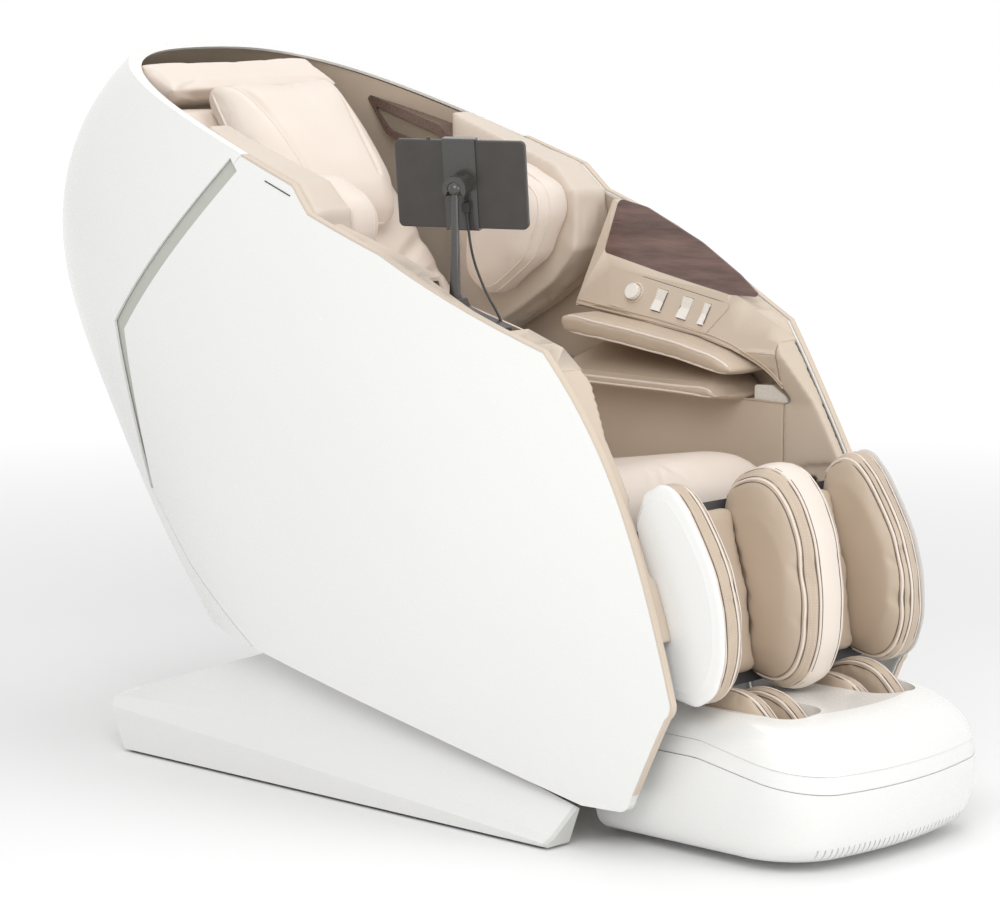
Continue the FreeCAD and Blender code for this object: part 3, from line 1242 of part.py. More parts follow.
# Power box and air pump, screwed down on the cross members between the ears
box_low = S.frame_low + S.frame_tall
power_box = plan_prism([(-132, 196), (-14, 196), (-14, 398), (-132, 398)], 6, box_low, box_low + 46)
for i in range(9):
    y = 222 + i * 18
    power_box = power_box.cut(block(-112, -34, y, y + 6, box_low + 43, box_low + 50))
keep("power_box", power_box)
pump = plan_prism([(14, 196), (132, 196), (132, 398), (14, 398)], 18, box_low, box_low + 14)
for y in (240, 300, 360):
    pump = pump.fuse(rod(V(24, y, box_low + 34), V(122, y, box_low + 34), 24))
keep("air_pump", pump)

# Transport wheels on the stubs
wheels = []
for side in (-1, 1):
    hub = V(side * S.wheel_x - S.wheel_wide / 2, S.wheel_y, S.wheel_z)
    wheel = Part.makeCylinder(S.wheel_radius, S.wheel_wide, hub, V(1, 0, 0))
    wheel = wheel.makeChamfer(2, [edge for edge in wheel.Edges
                                  if edge.Curve.TypeId == "Part::GeomCircle"])
    bore = Part.makeCylinder(S.axle_radius + S.running_gap, S.wheel_wide, hub, V(1, 0, 0))
    wheels.append(wheel.cut(bore))
keep("transport_wheels", Part.makeCompound(wheels))

# Tilt drive: a motor unit on the base's pin and a rod that reaches up to the seat
motor_low = V(0, S.motor_y, S.motor_z)
motor_high = V(0, S.rod_y, S.rod_z)
reach = motor_high - motor_low
drive_long = reach.Length
drive_way = V(reach).normalize()
drive = Frame(motor_low, V(1, 0, 0), drive_way)


def along_drive(length, u=0.0, w=0.0):
    return drive.at(u, length, w)


tube_end = S.drive_tube_long
motor = rod(along_drive(-2), along_drive(tube_end), S.motor_tube_radius)
eye = cross_rod(S.motor_y, S.motor_z, S.rod_pin_radius + 6, -S.clevis_half + 1, S.clevis_half - 1)
gearbox = prism(closed_wire([(-26, 34), (44, 34), (44, 76), (-26, 76)], 8, drive.level(-26)),
                drive.out * 48)
can = rod(along_drive(72, 30), along_drive(150, 30), 14)
motor = motor.fuse(eye).fuse(gearbox).fuse(can)
motor = motor.cut(rod(along_drive(S.drive_bore_from), along_drive(tube_end + 1),
                      S.rod_radius + 0.1))
motor = motor.cut(cross_rod(S.motor_y, S.motor_z, S.rod_pin_radius + S.running_gap, -60, 60))
keep("tilt_motor", motor)
rod_eye_radius = S.rod_pin_radius + S.rod_eye_slack
tilt_rod = rod(along_drive(S.drive_bore_from + 4), along_drive(drive_long), S.rod_radius)
tilt_rod = tilt_rod.fuse(cross_rod(S.rod_y, S.rod_z, rod_eye_radius + 5, -9, 9))
keep("tilt_rod", tilt_rod.cut(cross_rod(S.rod_y, S.rod_z, rod_eye_radius, -20, 20)))


# Calf rest. Frame at the knee axis: v runs down the shin, w to the front
lean = math.radians(S.calf_lean)
down = V(0, -math.sin(lean), -math.cos(lean))
knee = V(0, S.knee_y, S.knee_z)
calf = Frame(knee, V(1, 0, 0), down)
if calf.out.y > 0:
    calf = Frame(knee, V(-1, 0, 0), down)


def calf_side(corners, radii, x_from, x_to):
    """Outline (down the shin, to the front) made solid from x_from to x_to."""
    def lift(s, w):
        point = calf.at(0, s, w)
        return V(x_from, point.y, point.z)
    return prism(closed_wire(corners, radii, lift), V(x_to - x_from, 0, 0))


plate_from = S.calf_plate_from
plate_to = plate_from + S.calf_plate_thick
calf_frame = calf_side([(-20, plate_from), (S.calf_long, plate_from), (S.calf_long, plate_to),
                        (-20, plate_to)], 0, -S.calf_half, S.calf_half)
calf_frame = calf_frame.fuse(cross_rod(S.knee_y, S.knee_z, S.knee_radius, -outer_x - 5, outer_x + 5))
for side in (-1, 1):
    x_from, x_to = sorted((side * (S.plate_half - 10), side * (S.plate_half - 4)))
    ear = calf_side([(-18, plate_from), (-14, -10), (14, -10), (60, plate_from)], [0, 8, 8, 0],
                    x_from, x_to)
    calf_frame = calf_frame.fuse(ear)
    low = V(side * S.guide_half, 0, 0) + calf.at(0, 190, S.guide_w)
    high = V(side * S.guide_half, 0, 0) + calf.at(0, 236, S.guide_w)
    carrier = calf_side([(190, plate_from), (190, S.guide_w - 10), (236, S.guide_w - 10),
                         (236, plate_from)], [0, 6, 6, 0], side * S.guide_half - 11,
                        side * S.guide_half + 11)
    calf_frame = calf_frame.fuse(carrier.cut(rod(low - down * 2, high + down * 2,
                                                 S.guide_radius + S.running_gap)))
keep("calf_frame", calf_frame)

LOBE = [(-604, 558), (-640, 572), (-664, 576), (-696, 566), (-727, 530), (-751, 475), (-764, 386),
        (-762, 317), (-742, 262), (-706, 240)]
OUTER_LOBE = [(-604, 562), (-636, 580), (-660, 576), (-690, 545), (-716, 505), (-744, 455),
              (-764, 386), (-766, 317), (-748, 262), (-712, 240)]
back_plane = plate_to + S.fit_gap


def calf_back(s):
    point = calf.at(0, s, back_plane)
    return point.y, point.z


lobe_ends = [calf_back(S.calf_long - 8), calf_back(-22)]
LOBE_RADII = [10, 30, 30, 40, 80, 150, 200, 120, 50, 30, 8, 3]


def scaled(corners, share):
    """The corners drawn towards the back of the calf rest's middle."""
    middle_y, middle_z = calf_back(110)
    return [(middle_y + (y - middle_y) * share, middle_z + (z - middle_z) * share)
            for y, z in corners]


def lobe(outline, x_levels):
    """A calf pad: the side outline at each (x, share) level, lofted across."""
    wires = []
    for x, share in x_levels:
        corners = scaled(outline + lobe_ends, share)
        wires.append(closed_wire(corners, [r * share for r in LOBE_RADII], side_view(x)))
    return Part.makeLoft(wires, True, False, False, 3)


behind = calf_side([(-200, back_plane), (400, back_plane), (400, -300), (-200, -300)], 0, -WIDE, WIDE)
inner, outer = S.lobe_inner, S.lobe_outer
pad_shape = lobe(OUTER_LOBE, ((inner, 0.8), (inner + 3, 0.88), (inner + 14, 0.985), (inner + 24, 1.0),
                              (inner + 44, 1.0), (outer, 0.985)))
calf_pad = pad_shape.cut(behind)
keep("calf_pad_left", calf_pad)
keep("calf_pad_right", other_side(calf_pad))
cover_from, cover_to = outer + S.fit_gap, S.cover_outer
cover_shape = lobe(OUTER_LOBE, ((cover_from, 0.985), (cover_from + 2, 0.975), (cover_to - 2, 0.93),
                                (cover_to, 0.86)))
calf_cover = cover_shape.cut(behind)
keep("calf_covers", both_sides(calf_cover))

# Middle calf pad: two cheeks round a pale band
half = S.divider_half
divider = lobe(LOBE, ((-half, 0.8), (-half + 3, 0.88), (-half + 14, 0.975), (half - 14, 0.975),
                      (half - 3, 0.88), (half, 0.8)))
keep("calf_divider", divider.cut(behind))

# Calf cushions on the plate, between the pads
back_pad = calf_side([(-14, back_plane), (-8, back_plane + 24), (120, back_plane + 34),
                      (250, back_plane + 24), (256, back_plane)], [2, 12, 80, 12, 2],
                     half + 1.5, inner - 1.5)
keep("calf_back_pads", both_sides(back_pad))


# Foot unit: a tub in two shells with a trim band between them
def foot_plan(inset, z, front_inset=None):
    """Plan outline of the foot unit, drawn in by the inset."""
    if front_inset is None:
        front_inset = inset
    half = S.foot_half - inset
    front = S.foot_front_y + front_inset
    rear = S.foot_rear_y - inset * 0.5
    corner = S.foot_corner
    edges = [
        Part.LineSegment(V(half, rear, z), V(half, front + corner, z)),
        Part.Arc(V(half, front + corner, z), V(half - corner * 0.2, front + corner * 0.42, z),
                 V(half - corner * 0.62, front + corner * 0.14, z)),
        Part.Arc(V(half - corner * 0.62, front + corner * 0.14, z), V(0, front, z),
                 V(corner * 0.62 - half, front + corner * 0.14, z)),
        Part.Arc(V(corner * 0.62 - half, front + corner * 0.14, z),
                 V(corner * 0.2 - half, front + corner * 0.42, z), V(-half, front + corner, z)),
        Part.LineSegment(V(-half, front + corner, z), V(-half, rear, z)),
        Part.LineSegment(V(-half, rear, z), V(half, rear, z)),
    ]
    return Part.Wire([edge.toShape() for edge in edges])


def foot_body(wall):
    """The foot unit's outer form, drawn in by its wall."""
    low, high = S.foot_low + wall, S.foot_top - wall
    levels = ((low, 22, 34), (low + 22, 6, 12), (100, 0, 0), (150, 0, 3), (178, 5, 14),
              (202, 18, 34), (high - 10, 34, 60), (high, 56, 88))
    if wall:
        levels = tuple((z, inset + wall, ahead + wall) for z, inset, ahead in levels)
    return Part.makeLoft([foot_plan(inset, z, ahead) for z, inset, ahead in levels],
                         True, False, False, 3)


def foot_line(offset):
    """Room below the trim line: it rises from the front to the calf rest."""
    def z(y):
        return S.foot_line_z + (y - S.foot_front_y - 62) * S.foot_line_rise + offset
    front, middle, rear = S.foot_front_y - 20, -700, S.foot_rear_y + 20
    return side_prism([(front, -20), (rear, -20), (rear, z(middle)), (middle, z(middle)),
                       (front, z(front))], [0, 0, 0, 200, 0], -WIDE, WIDE)


def well(grow, low, high):
    """Room of a foot well on the left side, from low to high."""
    corners = [(S.well_inner - grow, S.well_rear_y + grow), (S.well_inner - grow, S.well_front_y - grow),
               (S.well_outer + grow, S.well_front_y - grow), (S.well_outer + grow, S.well_rear_y + grow)]
    return plan_prism(corners, [20 + grow, 50 + grow, 50 + grow, 20 + grow], low, high)


foot_outer = foot_body(0)
foot_inner = foot_body(S.foot_wall)
half_band = S.foot_band / 2
lower = foot_outer.common(foot_line(-half_band)).cut(foot_inner)
# Air slots along the lower front
SLOT_COUNT = 34
for i in range(SLOT_COUNT):
    x = S.slot_first + i * S.slot_pitch
    slot = prism(closed_wire([(x + 6, S.foot_low + 6), (x + 8.5, S.foot_low + 6),
                              (x + 3.5, S.foot_low + 24), (x + 1, S.foot_low + 24)], 0,
                             front_view(S.foot_front_y - 20)), V(0, 70, 0))
    lower = lower.cut(slot)
keep("foot_shell_lower", lower)
upper = foot_outer.cut(foot_line(half_band)).cut(foot_inner)
tub = well(S.foot_wall, S.well_floor - S.foot_wall, S.foot_top + 20)
tubs = both_sides(tub)
upper = upper.fuse(tubs.common(foot_outer)).cut(both_sides(well(0, S.well_floor, S.foot_top + 20)))
# Lugs on the floor of each well for the axle of the sole roller
sole_z = S.well_floor + S.sole_radius + 2
well_middle = (S.well_inner + S.well_outer) / 2
for turn in (-1, 1):
    x_from, x_to = sorted((well_middle + turn * 14.5, well_middle + turn * 17.5))
    lug = side_prism([(S.sole_y - 12, S.well_floor - 1), (S.sole_y + 12, S.well_floor - 1),
                      (S.sole_y + 7, sole_z + 7), (S.sole_y - 7, sole_z + 7)], [0, 0, 6, 6],
                     x_from, x_to)
    lug = lug.cut(cross_rod(S.sole_y, sole_z, S.sole_axle + S.running_gap, x_from, x_to))
    upper = upper.fuse(both_sides(lug))
for side in (-1, 1):
    low = V(side * S.guide_half, 0, 0) + calf.at(0, S.rod_end, S.guide_w)
    high = V(side * S.guide_half, 0, 0) + calf.at(0, 200, S.guide_w)
    boss = rod(low, high, S.guide_radius + 5).common(foot_inner)
    upper = upper.fuse(boss).cut(rod(low, high, S.guide_radius))
keep("foot_shell_upper", upper)
band_skin = foot_body(1.5).cut(foot_body(S.foot_wall + 1))
band = band_skin.common(foot_line(half_band - S.band_gap).cut(foot_line(S.band_gap - half_band)))
keep("foot_trim_band", band)

# Guide rods: they slide in the bushes of the calf frame
rods = []
for side in (-1, 1):
    low = V(side * S.guide_half, 0, 0) + calf.at(0, S.rod_end, S.guide_w)
    high = V(side * S.guide_half, 0, 0) + calf.at(0, S.rod_start, S.guide_w)
    rods.append(rod(low, high, S.guide_radius))
keep("foot_guide_rods", Part.makeCompound(rods))

# Foot pads: a leather cheek on both sides of each foot
CHEEK = [(-612, S.well_floor + 1), (-612, 214), (-656, 246), (-702, 262), (-752, 251), (-797, 211),
         (-814, 150), (-812, S.well_floor + 1)]
CHEEK_RADII = [6, 30, 80, 80, 60, 60, 30, 6]
middle_y = -714.0
foot_pads = []
well_fit = well(-S.fit_gap, S.well_floor, S.foot_top + 80)
for wall_x, turn, rise in ((S.well_outer, -1, 1.0), (S.well_inner, 1, 0.93)):
    wires = []
    for step, share in ((0.5, 0.94), (8, 1.0), (22, 1.0), (30, 0.97), (35, 0.88)):
        corners = [(middle_y + (y - middle_y) * share,
                    S.well_floor + 1 + (z - S.well_floor - 1) * (0.5 + share / 2) * rise)
                   for y, z in CHEEK]
        wires.append(closed_wire(corners, CHEEK_RADII, side_view(wall_x + turn * step)))
    cheek = Part.makeLoft(wires, True, False, False, 3).common(well_fit)
    foot_pads += [cheek, other_side(cheek)]
keep("foot_pads", Part.makeCompound(foot_pads))

# Sole rollers: a ribbed barrel on an axle across the floor of each well
sole = cross_rod(S.sole_y, sole_z, S.sole_axle, well_middle - 17, well_middle + 17)
for x in (-9.5, 0, 9.5):
    rib = Part.makeCylinder(S.sole_radius, 5, V(well_middle + x - 2.5, S.sole_y, sole_z), V(1, 0, 0))
    rib = rib.makeChamfer(1.5, [edge for edge in rib.Edges if edge.Curve.TypeId == "Part::GeomCircle"])
    sole = sole.fuse(rib)
sole = sole.fuse(cross_rod(S.sole_y, sole_z, S.sole_radius - 3, well_middle - 12, well_middle + 12))
keep("sole_rollers", both_sides(sole))


# Tablet holder: tray, stalk with a ball, socket, bracket and tablet
stalk_foot = V(S.stalk_x, S.stalk_y, S.stalk_low_z)
ball = V(S.stalk_x, S.stalk_y, S.ball_z)
tray_y = (S.stalk_y + 17, S.stalk_y - 17)
tray_front = SHELF_FRONT + 12
gap = S.fit_gap
tray = side_prism([(tray_y[0], shelf_z(tray_y[0]) + gap), (tray_y[0], S.stalk_low_z),
                   (tray_y[1], S.stalk_low_z), (tray_y[1] - 8, shelf_z(tray_y[1] - 8) + 5),
                   (tray_front, shelf_z(tray_front) + 5), (tray_front, shelf_z(tray_front) + gap)],
                  [0, 3, 3, 3, 1, 0], S.stalk_x - 13, S.stalk_x + 9)
keep("tablet_tray", tray)
stalk = Part.makeCone(S.stalk_base_radius, S.stalk_top_radius, S.ball_z - S.stalk_low_z, stalk_foot)
stalk = stalk.fuse(Part.makeSphere(S.ball_radius, ball))
stalk = stalk.fuse(Part.makeCylinder(S.stalk_base_radius + 2, 4, stalk_foot))
keep("tablet_stalk", stalk)

turn = math.radians(S.tablet_turn)
pitch = math.radians(S.tablet_pitch)
screen_out = V(math.cos(turn) * math.cos(pitch), math.sin(turn) * math.cos(pitch), math.sin(pitch))
screen_along = V(-math.sin(turn), math.cos(turn), 0)
screen_up = screen_out.cross(screen_along)
holder = Frame(ball, screen_along, screen_up)

# Socket: a cup round the ball and a neck to the bracket, open towards the stalk
cup = Part.makeSphere(S.socket_radius, ball)
neck = rod(ball, ball + holder.out * (S.tablet_off - S.bracket_thick), S.socket_radius * 0.8)
socket_piece = cup.fuse(neck).cut(Part.makeSphere(S.ball_radius + S.ball_gap, ball))
cut_from = ball - holder.out * 5
socket_piece = socket_piece.cut(Part.makeCylinder(60, 60, cut_from, holder.out * -1))
mouth = Part.makeCone(S.stalk_top_radius + 3, 26, S.socket_radius + 10, ball, V(0, 0, -1))
socket_piece = socket_piece.cut(mouth)
keep("ball_socket", socket_piece)

off = S.tablet_off
half_wide, half_tall = S.tablet_wide / 2, S.tablet_tall / 2
body_frame = Frame(holder.at(S.tablet_shift, 0, off), holder.along, holder.up)
thick = S.tablet_thick
tablet = prism(closed_wire([(-half_wide, -half_tall), (half_wide, -half_tall),
                            (half_wide, half_tall), (-half_wide, half_tall)], 9,
                           body_frame.level(0)), body_frame.out * thick)
tablet = tablet.makeChamfer(1.6, [edge for edge in tablet.Edges
                                  if edge.Length > 2 * half_tall - 30])
nub = rod(body_frame.at(52, half_tall - 0.2, thick / 2), body_frame.at(52, half_tall + 3.5, thick / 2), 3)
keep("tablet", tablet.fuse(nub))
reach = half_tall + S.bracket_thick + gap
bracket_side = [(-reach, -S.bracket_thick), (reach, -S.bracket_thick), (reach, thick + 3),
                (reach - 6, thick + 3), (reach - 6, thick + gap), (half_tall + gap, thick + gap),
                (half_tall + gap, -gap), (-half_tall - gap, -gap), (-half_tall - gap, thick + gap),
                (6 - reach, thick + gap), (6 - reach, thick + 3), (-reach, thick + 3)]
band_half = S.bracket_wide / 2


def bracket_lift(v, w):
    return holder.at(-band_half, v, off + w)


bracket = prism(closed_wire(bracket_side, [3, 3, 1, 0, 0, 0, 0, 0, 0, 0, 0, 1], bracket_lift),
                holder.along * S.bracket_wide)
keep("tablet_bracket", bracket)

# Power cable of the tablet, hanging from its lower edge to the hole in the shelf
CABLE = [(-270.9, -252.5, 957.7), (-265.7, -253.0, 922.0), (-279.0, -274.0, 894.0),
         (-292.0, -300.0, 868.0), (-297.0, -322.0, 841.0), (-291.5, -335.5, 819.0),
         (-286.5, -340.0, 803.0)]


def cable_path(points):
    """Straight runs joined by tangent arcs, as large as the runs allow."""
    edges = []
    here = points[0]
    for i in range(1, len(points) - 1):
        back_run = points[i - 1] - points[i]
        ahead_run = points[i + 1] - points[i]
        shorter = min(back_run.Length, ahead_run.Length)
        half_turn = (math.pi - back_run.getAngle(ahead_run)) / 2
        cut = 0.45 * shorter
        radius = cut / math.tan(half_turn)
        print("cable arc %d radius %.1f" % (i, radius))
        start = points[i] + V(back_run).normalize() * cut
        end = points[i] + V(ahead_run).normalize() * cut
        middle_way = (V(back_run).normalize() + V(ahead_run).normalize()).normalize()
        apex = points[i] + middle_way * (radius / math.cos(half_turn) - radius)
        edges.append(Part.LineSegment(here, start).toShape())
        edges.append(Part.Arc(start, apex, end).toShape())
        here = end
    edges.append(Part.LineSegment(here, points[-1]).toShape())
    return Part.Wire(edges)


cable_points = [V(*point) for point in CABLE]
cable_line = cable_path(cable_points)
circle = Part.Circle(cable_points[0], cable_points[1] - cable_points[0], S.cable_radius)
cable = cable_line.makePipeShell([Part.Wire([circle.toShape()])], True, False)
section = math.pi * S.cable_radius ** 2
print("cable volume over section times length: %.4f" % (cable.Volume / (section * cable_line.Length)))
keep("tablet_cable", cable)
start_way = (cable_points[0] - cable_points[1]).normalize()
end_way = (cable_points[-1] - cable_points[-2]).normalize()
relief = Part.makeCone(S.cable_radius + 0.6, S.cable_radius + S.relief_wall, 12,
                       cable_points[-1], end_way)
keep("cable_relief_lower", relief)
plug = Part.makeCone(S.cable_radius + 0.6, S.cable_radius + 2, 9, cable_points[0], start_way)
clip = prism(closed_wire([(-16, -42), (-4, -42), (-4, -26), (-16, -26)], 3,
                         holder.level(S.tablet_off - S.bracket_thick - 10)), holder.out * 10)
keep("cable_relief_upper", plug.fuse(clip))

doc.recompute()

# Every feature has to stand, and every sub-part has to be a sound solid, before anything is written
for item in doc.Objects:
    if "Invalid" in item.State or "Error" in item.State:
        raise RuntimeError("%s failed: %s" % (item.Label, item.State))
for item in NODES:
    if item.Shape.isNull() or not item.Shape.isValid() or not item.Shape.Solids:
        raise RuntimeError("%s is not a sound solid" % item.Label)
os.makedirs("parts", exist_ok=True)
for item in NODES:
    item.Shape.exportStep("parts/%s.step" % item.Label)
print("%d sub-parts written" % len(NODES))
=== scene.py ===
import math

import bmesh
import bpy
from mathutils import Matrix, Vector
from mathutils.kdtree import KDTree


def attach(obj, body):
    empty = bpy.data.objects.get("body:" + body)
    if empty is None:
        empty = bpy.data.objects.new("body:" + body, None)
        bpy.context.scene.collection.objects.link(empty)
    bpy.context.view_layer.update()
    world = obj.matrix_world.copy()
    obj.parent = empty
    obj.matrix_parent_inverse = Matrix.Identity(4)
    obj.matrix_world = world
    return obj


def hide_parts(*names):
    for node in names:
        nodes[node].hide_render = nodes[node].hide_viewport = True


# A cabin style massage chair: a white egg shaped shell with a beige padded cabin, dressed over the
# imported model. Metres, in the row's frame: the chair faces -Y, +Z is up, the sitter's right is -X.
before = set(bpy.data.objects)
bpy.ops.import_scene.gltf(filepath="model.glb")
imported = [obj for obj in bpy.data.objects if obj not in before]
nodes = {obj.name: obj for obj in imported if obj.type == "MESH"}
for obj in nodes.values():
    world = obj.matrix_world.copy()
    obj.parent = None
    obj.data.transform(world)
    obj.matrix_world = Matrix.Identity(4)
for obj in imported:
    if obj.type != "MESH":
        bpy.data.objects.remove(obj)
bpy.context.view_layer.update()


# Camera
# The photograph is taken from the sitter's right and a little above, with a long lens, so the
# chair's lines stay nearly parallel. The angles come from its two mirror-image halves.

BEARING = math.radians(-47.0)
HEIGHT_ANGLE = math.radians(8.5)
CAMERA_DISTANCE = 6.0
LENS = 129.6
AIM = Vector((0.0, -0.0326, 0.536))

towards_camera = Vector((math.sin(BEARING) * math.cos(HEIGHT_ANGLE),
                         -math.cos(BEARING) * math.cos(HEIGHT_ANGLE), math.sin(HEIGHT_ANGLE)))
bpy.ops.object.select_all(action="DESELECT")
bpy.ops.object.camera_add(location=AIM + towards_camera * CAMERA_DISTANCE,
                          rotation=(math.pi / 2 - HEIGHT_ANGLE, 0.0, BEARING))
camera = bpy.context.object
camera.name = "camera"
camera.data.lens = LENS
camera.data.sensor_width = 36.0
bpy.context.scene.camera = camera
bpy.context.scene.view_settings.view_transform = "Standard"


# Tablet cable
# A thin black power lead. It leaves a clip on the back of the tablet's bracket, hangs in front of
# the stalk in a shallow S and goes into the armrest through a rubber sleeve.

CABLE_ROUTE = ((-0.2709, -0.2151, 0.9577), (-0.2657, -0.2156, 0.9220), (-0.2790, -0.2366, 0.8940),
               (-0.2920, -0.2626, 0.8680), (-0.2970, -0.2846, 0.8410), (-0.2915, -0.2981, 0.8190),
               (-0.2865, -0.3026, 0.8030))
CABLE_WIDE = 0.004

route = bpy.data.curves.new("tablet_lead", "CURVE")
route.dimensions = "3D"
route.bevel_depth = CABLE_WIDE / 2
route.bevel_resolution = 5
route.resolution_u = 16
route.use_fill_caps = True
spline = route.splines.new("NURBS")
spline.points.add(len(CABLE_ROUTE) - 1)
for point, place in zip(spline.points, CABLE_ROUTE):
    point.co = (*place, 1.0)
spline.order_u = 3
spline.use_endpoint_u = True
tablet_lead = bpy.data.objects.new("tablet_lead", route)
bpy.context.collection.objects.link(tablet_lead)


class Amount:
    """A number that varies over a surface. Sums and products of it add Math nodes."""

    def __init__(self, finish, socket):
        self.finish = finish
        self.socket = socket

    def worked(self, operation, first, second):
        return self.finish.node("ShaderNodeMath", {"operation": operation}, {0: first, 1: second})

    def __add__(self, other):
        return self.worked("ADD", self, other)

    def __radd__(self, other):
        return self.worked("ADD", other, self)

    def __sub__(self, other):
        return self.worked("SUBTRACT", self, other)

    def __rsub__(self, other):
        return self.worked("SUBTRACT", other, self)

    def __mul__(self, other):
        return self.worked("MULTIPLY", self, other)

    def __rmul__(self, other):
        return self.worked("MULTIPLY", other, self)

    def __lt__(self, other):
        return self.worked("LESS_THAN", self, other)

    def __gt__(self, other):
        return self.worked("GREATER_THAN", self, other)


class Finish:
    """One material: its nodes, and the Principled surface that they feed."""

    def __init__(self, name, **settings):
        self.material = bpy.data.materials.new(name)
        self.material.use_nodes = True
        self.tree = self.material.node_tree
        self.tree.nodes.clear()
        self.surface = self.tree.nodes.new("ShaderNodeBsdfPrincipled")
        self.output = self.tree.nodes.new("ShaderNodeOutputMaterial")
        self.tree.links.new(self.surface.outputs[0], self.output.inputs[0])
        self.place = self.node("ShaderNodeTexCoord", {}, {}, "Object")
        self.set(settings)

    def feed(self, socket, value):
        if isinstance(value, Amount):
            self.tree.links.new(value.socket, socket)
        else:
            socket.default_value = value

    def node(self, kind, settings, inputs, output=0):
        """Adds a node: its settings first, then the values or links of its sockets."""
        item = self.tree.nodes.new(kind)
        for name, value in settings.items():
            setattr(item, name, value)
        for key, value in inputs.items():
            self.feed(item.inputs[key], value)
        return Amount(self, item.outputs[output])

    def set(self, values):
        """Values or links of the Principled surface: base_color stands for Base Color."""
        for key, value in values.items():
            self.feed(self.surface.inputs[key.replace("_", " ").title()], value)

    def cloud(self, scale, detail=3.0, roughness=0.5, place=None):
        """Soft noise from 0 to 1, with lumps of 1 / scale metres."""
        return self.node("ShaderNodeTexNoise", {}, {"Vector": place or self.place, "Scale": scale,
                                                    "Detail": detail, "Roughness": roughness})

    def between(self, low, high, share):
        """A colour between two, by the share."""
        return self.node("ShaderNodeMix", {"data_type": "RGBA"}, {0: share, 6: low, 7: high}, 2)

    def stretch(self, value, low, high, to_low, to_high):
        return self.node("ShaderNodeMapRange", {}, {0: value, 1: low, 2: high, 3: to_low, 4: to_high})

    def bump(self, height, distance, strength):
        return self.node("ShaderNodeBump", {},
                         {"Height": height, "Distance": distance, "Strength": strength})


def dress(finish, *names):
    """Gives CAD nodes their finish."""
    for name in names:
        nodes[name].data.materials.clear()
        nodes[name].data.materials.append(finish.material)


def colour(red, green, blue):
    return (red, green, blue, 1.0)


black_rubber = Finish("black_rubber", base_color=colour(0.03, 0.03, 0.03), roughness=0.55)
grain = black_rubber.cloud(900.0)
black_rubber.set({"roughness": black_rubber.stretch(grain, 0.3, 0.7, 0.45, 0.65),
                  "normal": black_rubber.bump(grain, 0.0002, 0.4)})
tablet_lead.data.materials.append(black_rubber.material)
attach(tablet_lead, "capsule")
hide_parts("tablet_cable")
dress(black_rubber, "cable_relief_lower", "cable_relief_upper")


# White shell
# The outer covers are glossy pearl white mouldings. Only the light shows their form, so the
# surface is nearly flawless: a faint orange peel and a very slight drift of tone.

PEARL = colour(0.845, 0.843, 0.826)
pearl = Finish("pearl_white", roughness=0.24, coat_weight=0.35, coat_roughness=0.08)
drift = pearl.cloud(2.2, 2.0)
peel = pearl.cloud(420.0, 2.0)
pearl.set({"base_color": pearl.between(PEARL, colour(0.82, 0.82, 0.802), drift),
           "roughness": pearl.stretch(peel, 0.2, 0.8, 0.2, 0.3),
           "normal": pearl.bump(peel, 0.0001, 0.25)})
dress(pearl, "side_shell_left", "side_shell_right", "rear_shell", "base_shroud", "calf_covers",
      "foot_shell_lower", "foot_shell_upper", "foot_trim_band")


# Slits in the side shells
# A narrow dark vent is let into the rim of each side shell, beside the sitter's head. It is made
# as a thin black line that lies on the shell.

slits = []
for side in (-1, 1):
    bpy.ops.object.select_all(action="DESELECT")
    bpy.ops.curve.primitive_nurbs_path_add()
    slit = bpy.context.object
    slit.data.bevel_depth = 0.0011
    slit.data.use_fill_caps = True
    for number, point in enumerate(slit.data.splines[0].points):
        share = number / 4
        point.co = (side * (0.3566 + 0.0041 * share), 0.1525 - 0.0623 * share, 1.0023 - 0.0207 * share, 1.0)
    slit.location = (0, 0, 0)
    bpy.ops.object.convert(target="MESH")
    slits.append(bpy.context.object)
bpy.ops.object.select_all(action="DESELECT")
for slit in slits:
    slit.select_set(True)
bpy.context.view_layer.objects.active = slits[0]
bpy.ops.object.join()
shell_slits = slits[0]
shell_slits.name = "shell_slits"
shell_slits.data.materials.append(black_rubber.material)
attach(shell_slits, "capsule")


# Light strips and skid caps
# Satin translucent grey mouldings that close the slanting gaps between the side and rear shells,
# and the caps on the noses of the two skids.

strip = Finish("grey_strip", roughness=0.42)
haze = strip.cloud(30.0)
strip.set({"base_color": strip.between(colour(0.47, 0.48, 0.43), colour(0.53, 0.54, 0.49), haze),
           "roughness": strip.stretch(haze, 0.3, 0.7, 0.36, 0.48)})
dress(strip, "light_strips")
cap_white = Finish("cap_white", roughness=0.4)
cap_haze = cap_white.cloud(60.0)
cap_white.set({"base_color": cap_white.between(colour(0.66, 0.66, 0.63), colour(0.7, 0.7, 0.67), cap_haze),
               "roughness": cap_white.stretch(cap_haze, 0.3, 0.7, 0.34, 0.46)})
dress(cap_white, "skid_end_caps")


# Beige mouldings
# The cabin's hard lining: hood liner, control panel and edge trims are soft touch beige plastic,
# with a very fine spark texture that takes the shine off.

def beige_plastic(name, light, dark, shine):
    finish = Finish(name, roughness=shine)
    spark = finish.cloud(1600.0, 2.0)
    tone = finish.cloud(6.0, 2.0)
    finish.set({"base_color": finish.between(light, dark, tone),
                "roughness": finish.stretch(spark, 0.3, 0.7, shine - 0.06, shine + 0.08),
                "normal": finish.bump(spark, 0.00012, 0.5)})
    return finish


beige = beige_plastic("beige_panel", colour(0.62, 0.52, 0.42), colour(0.59, 0.49, 0.39), 0.46)
beige_edge = beige_plastic("beige_edge", colour(0.66, 0.56, 0.46), colour(0.62, 0.52, 0.42), 0.4)
dress(beige, "hood_liner", "control_panel")
dress(beige_edge, "edge_trims")


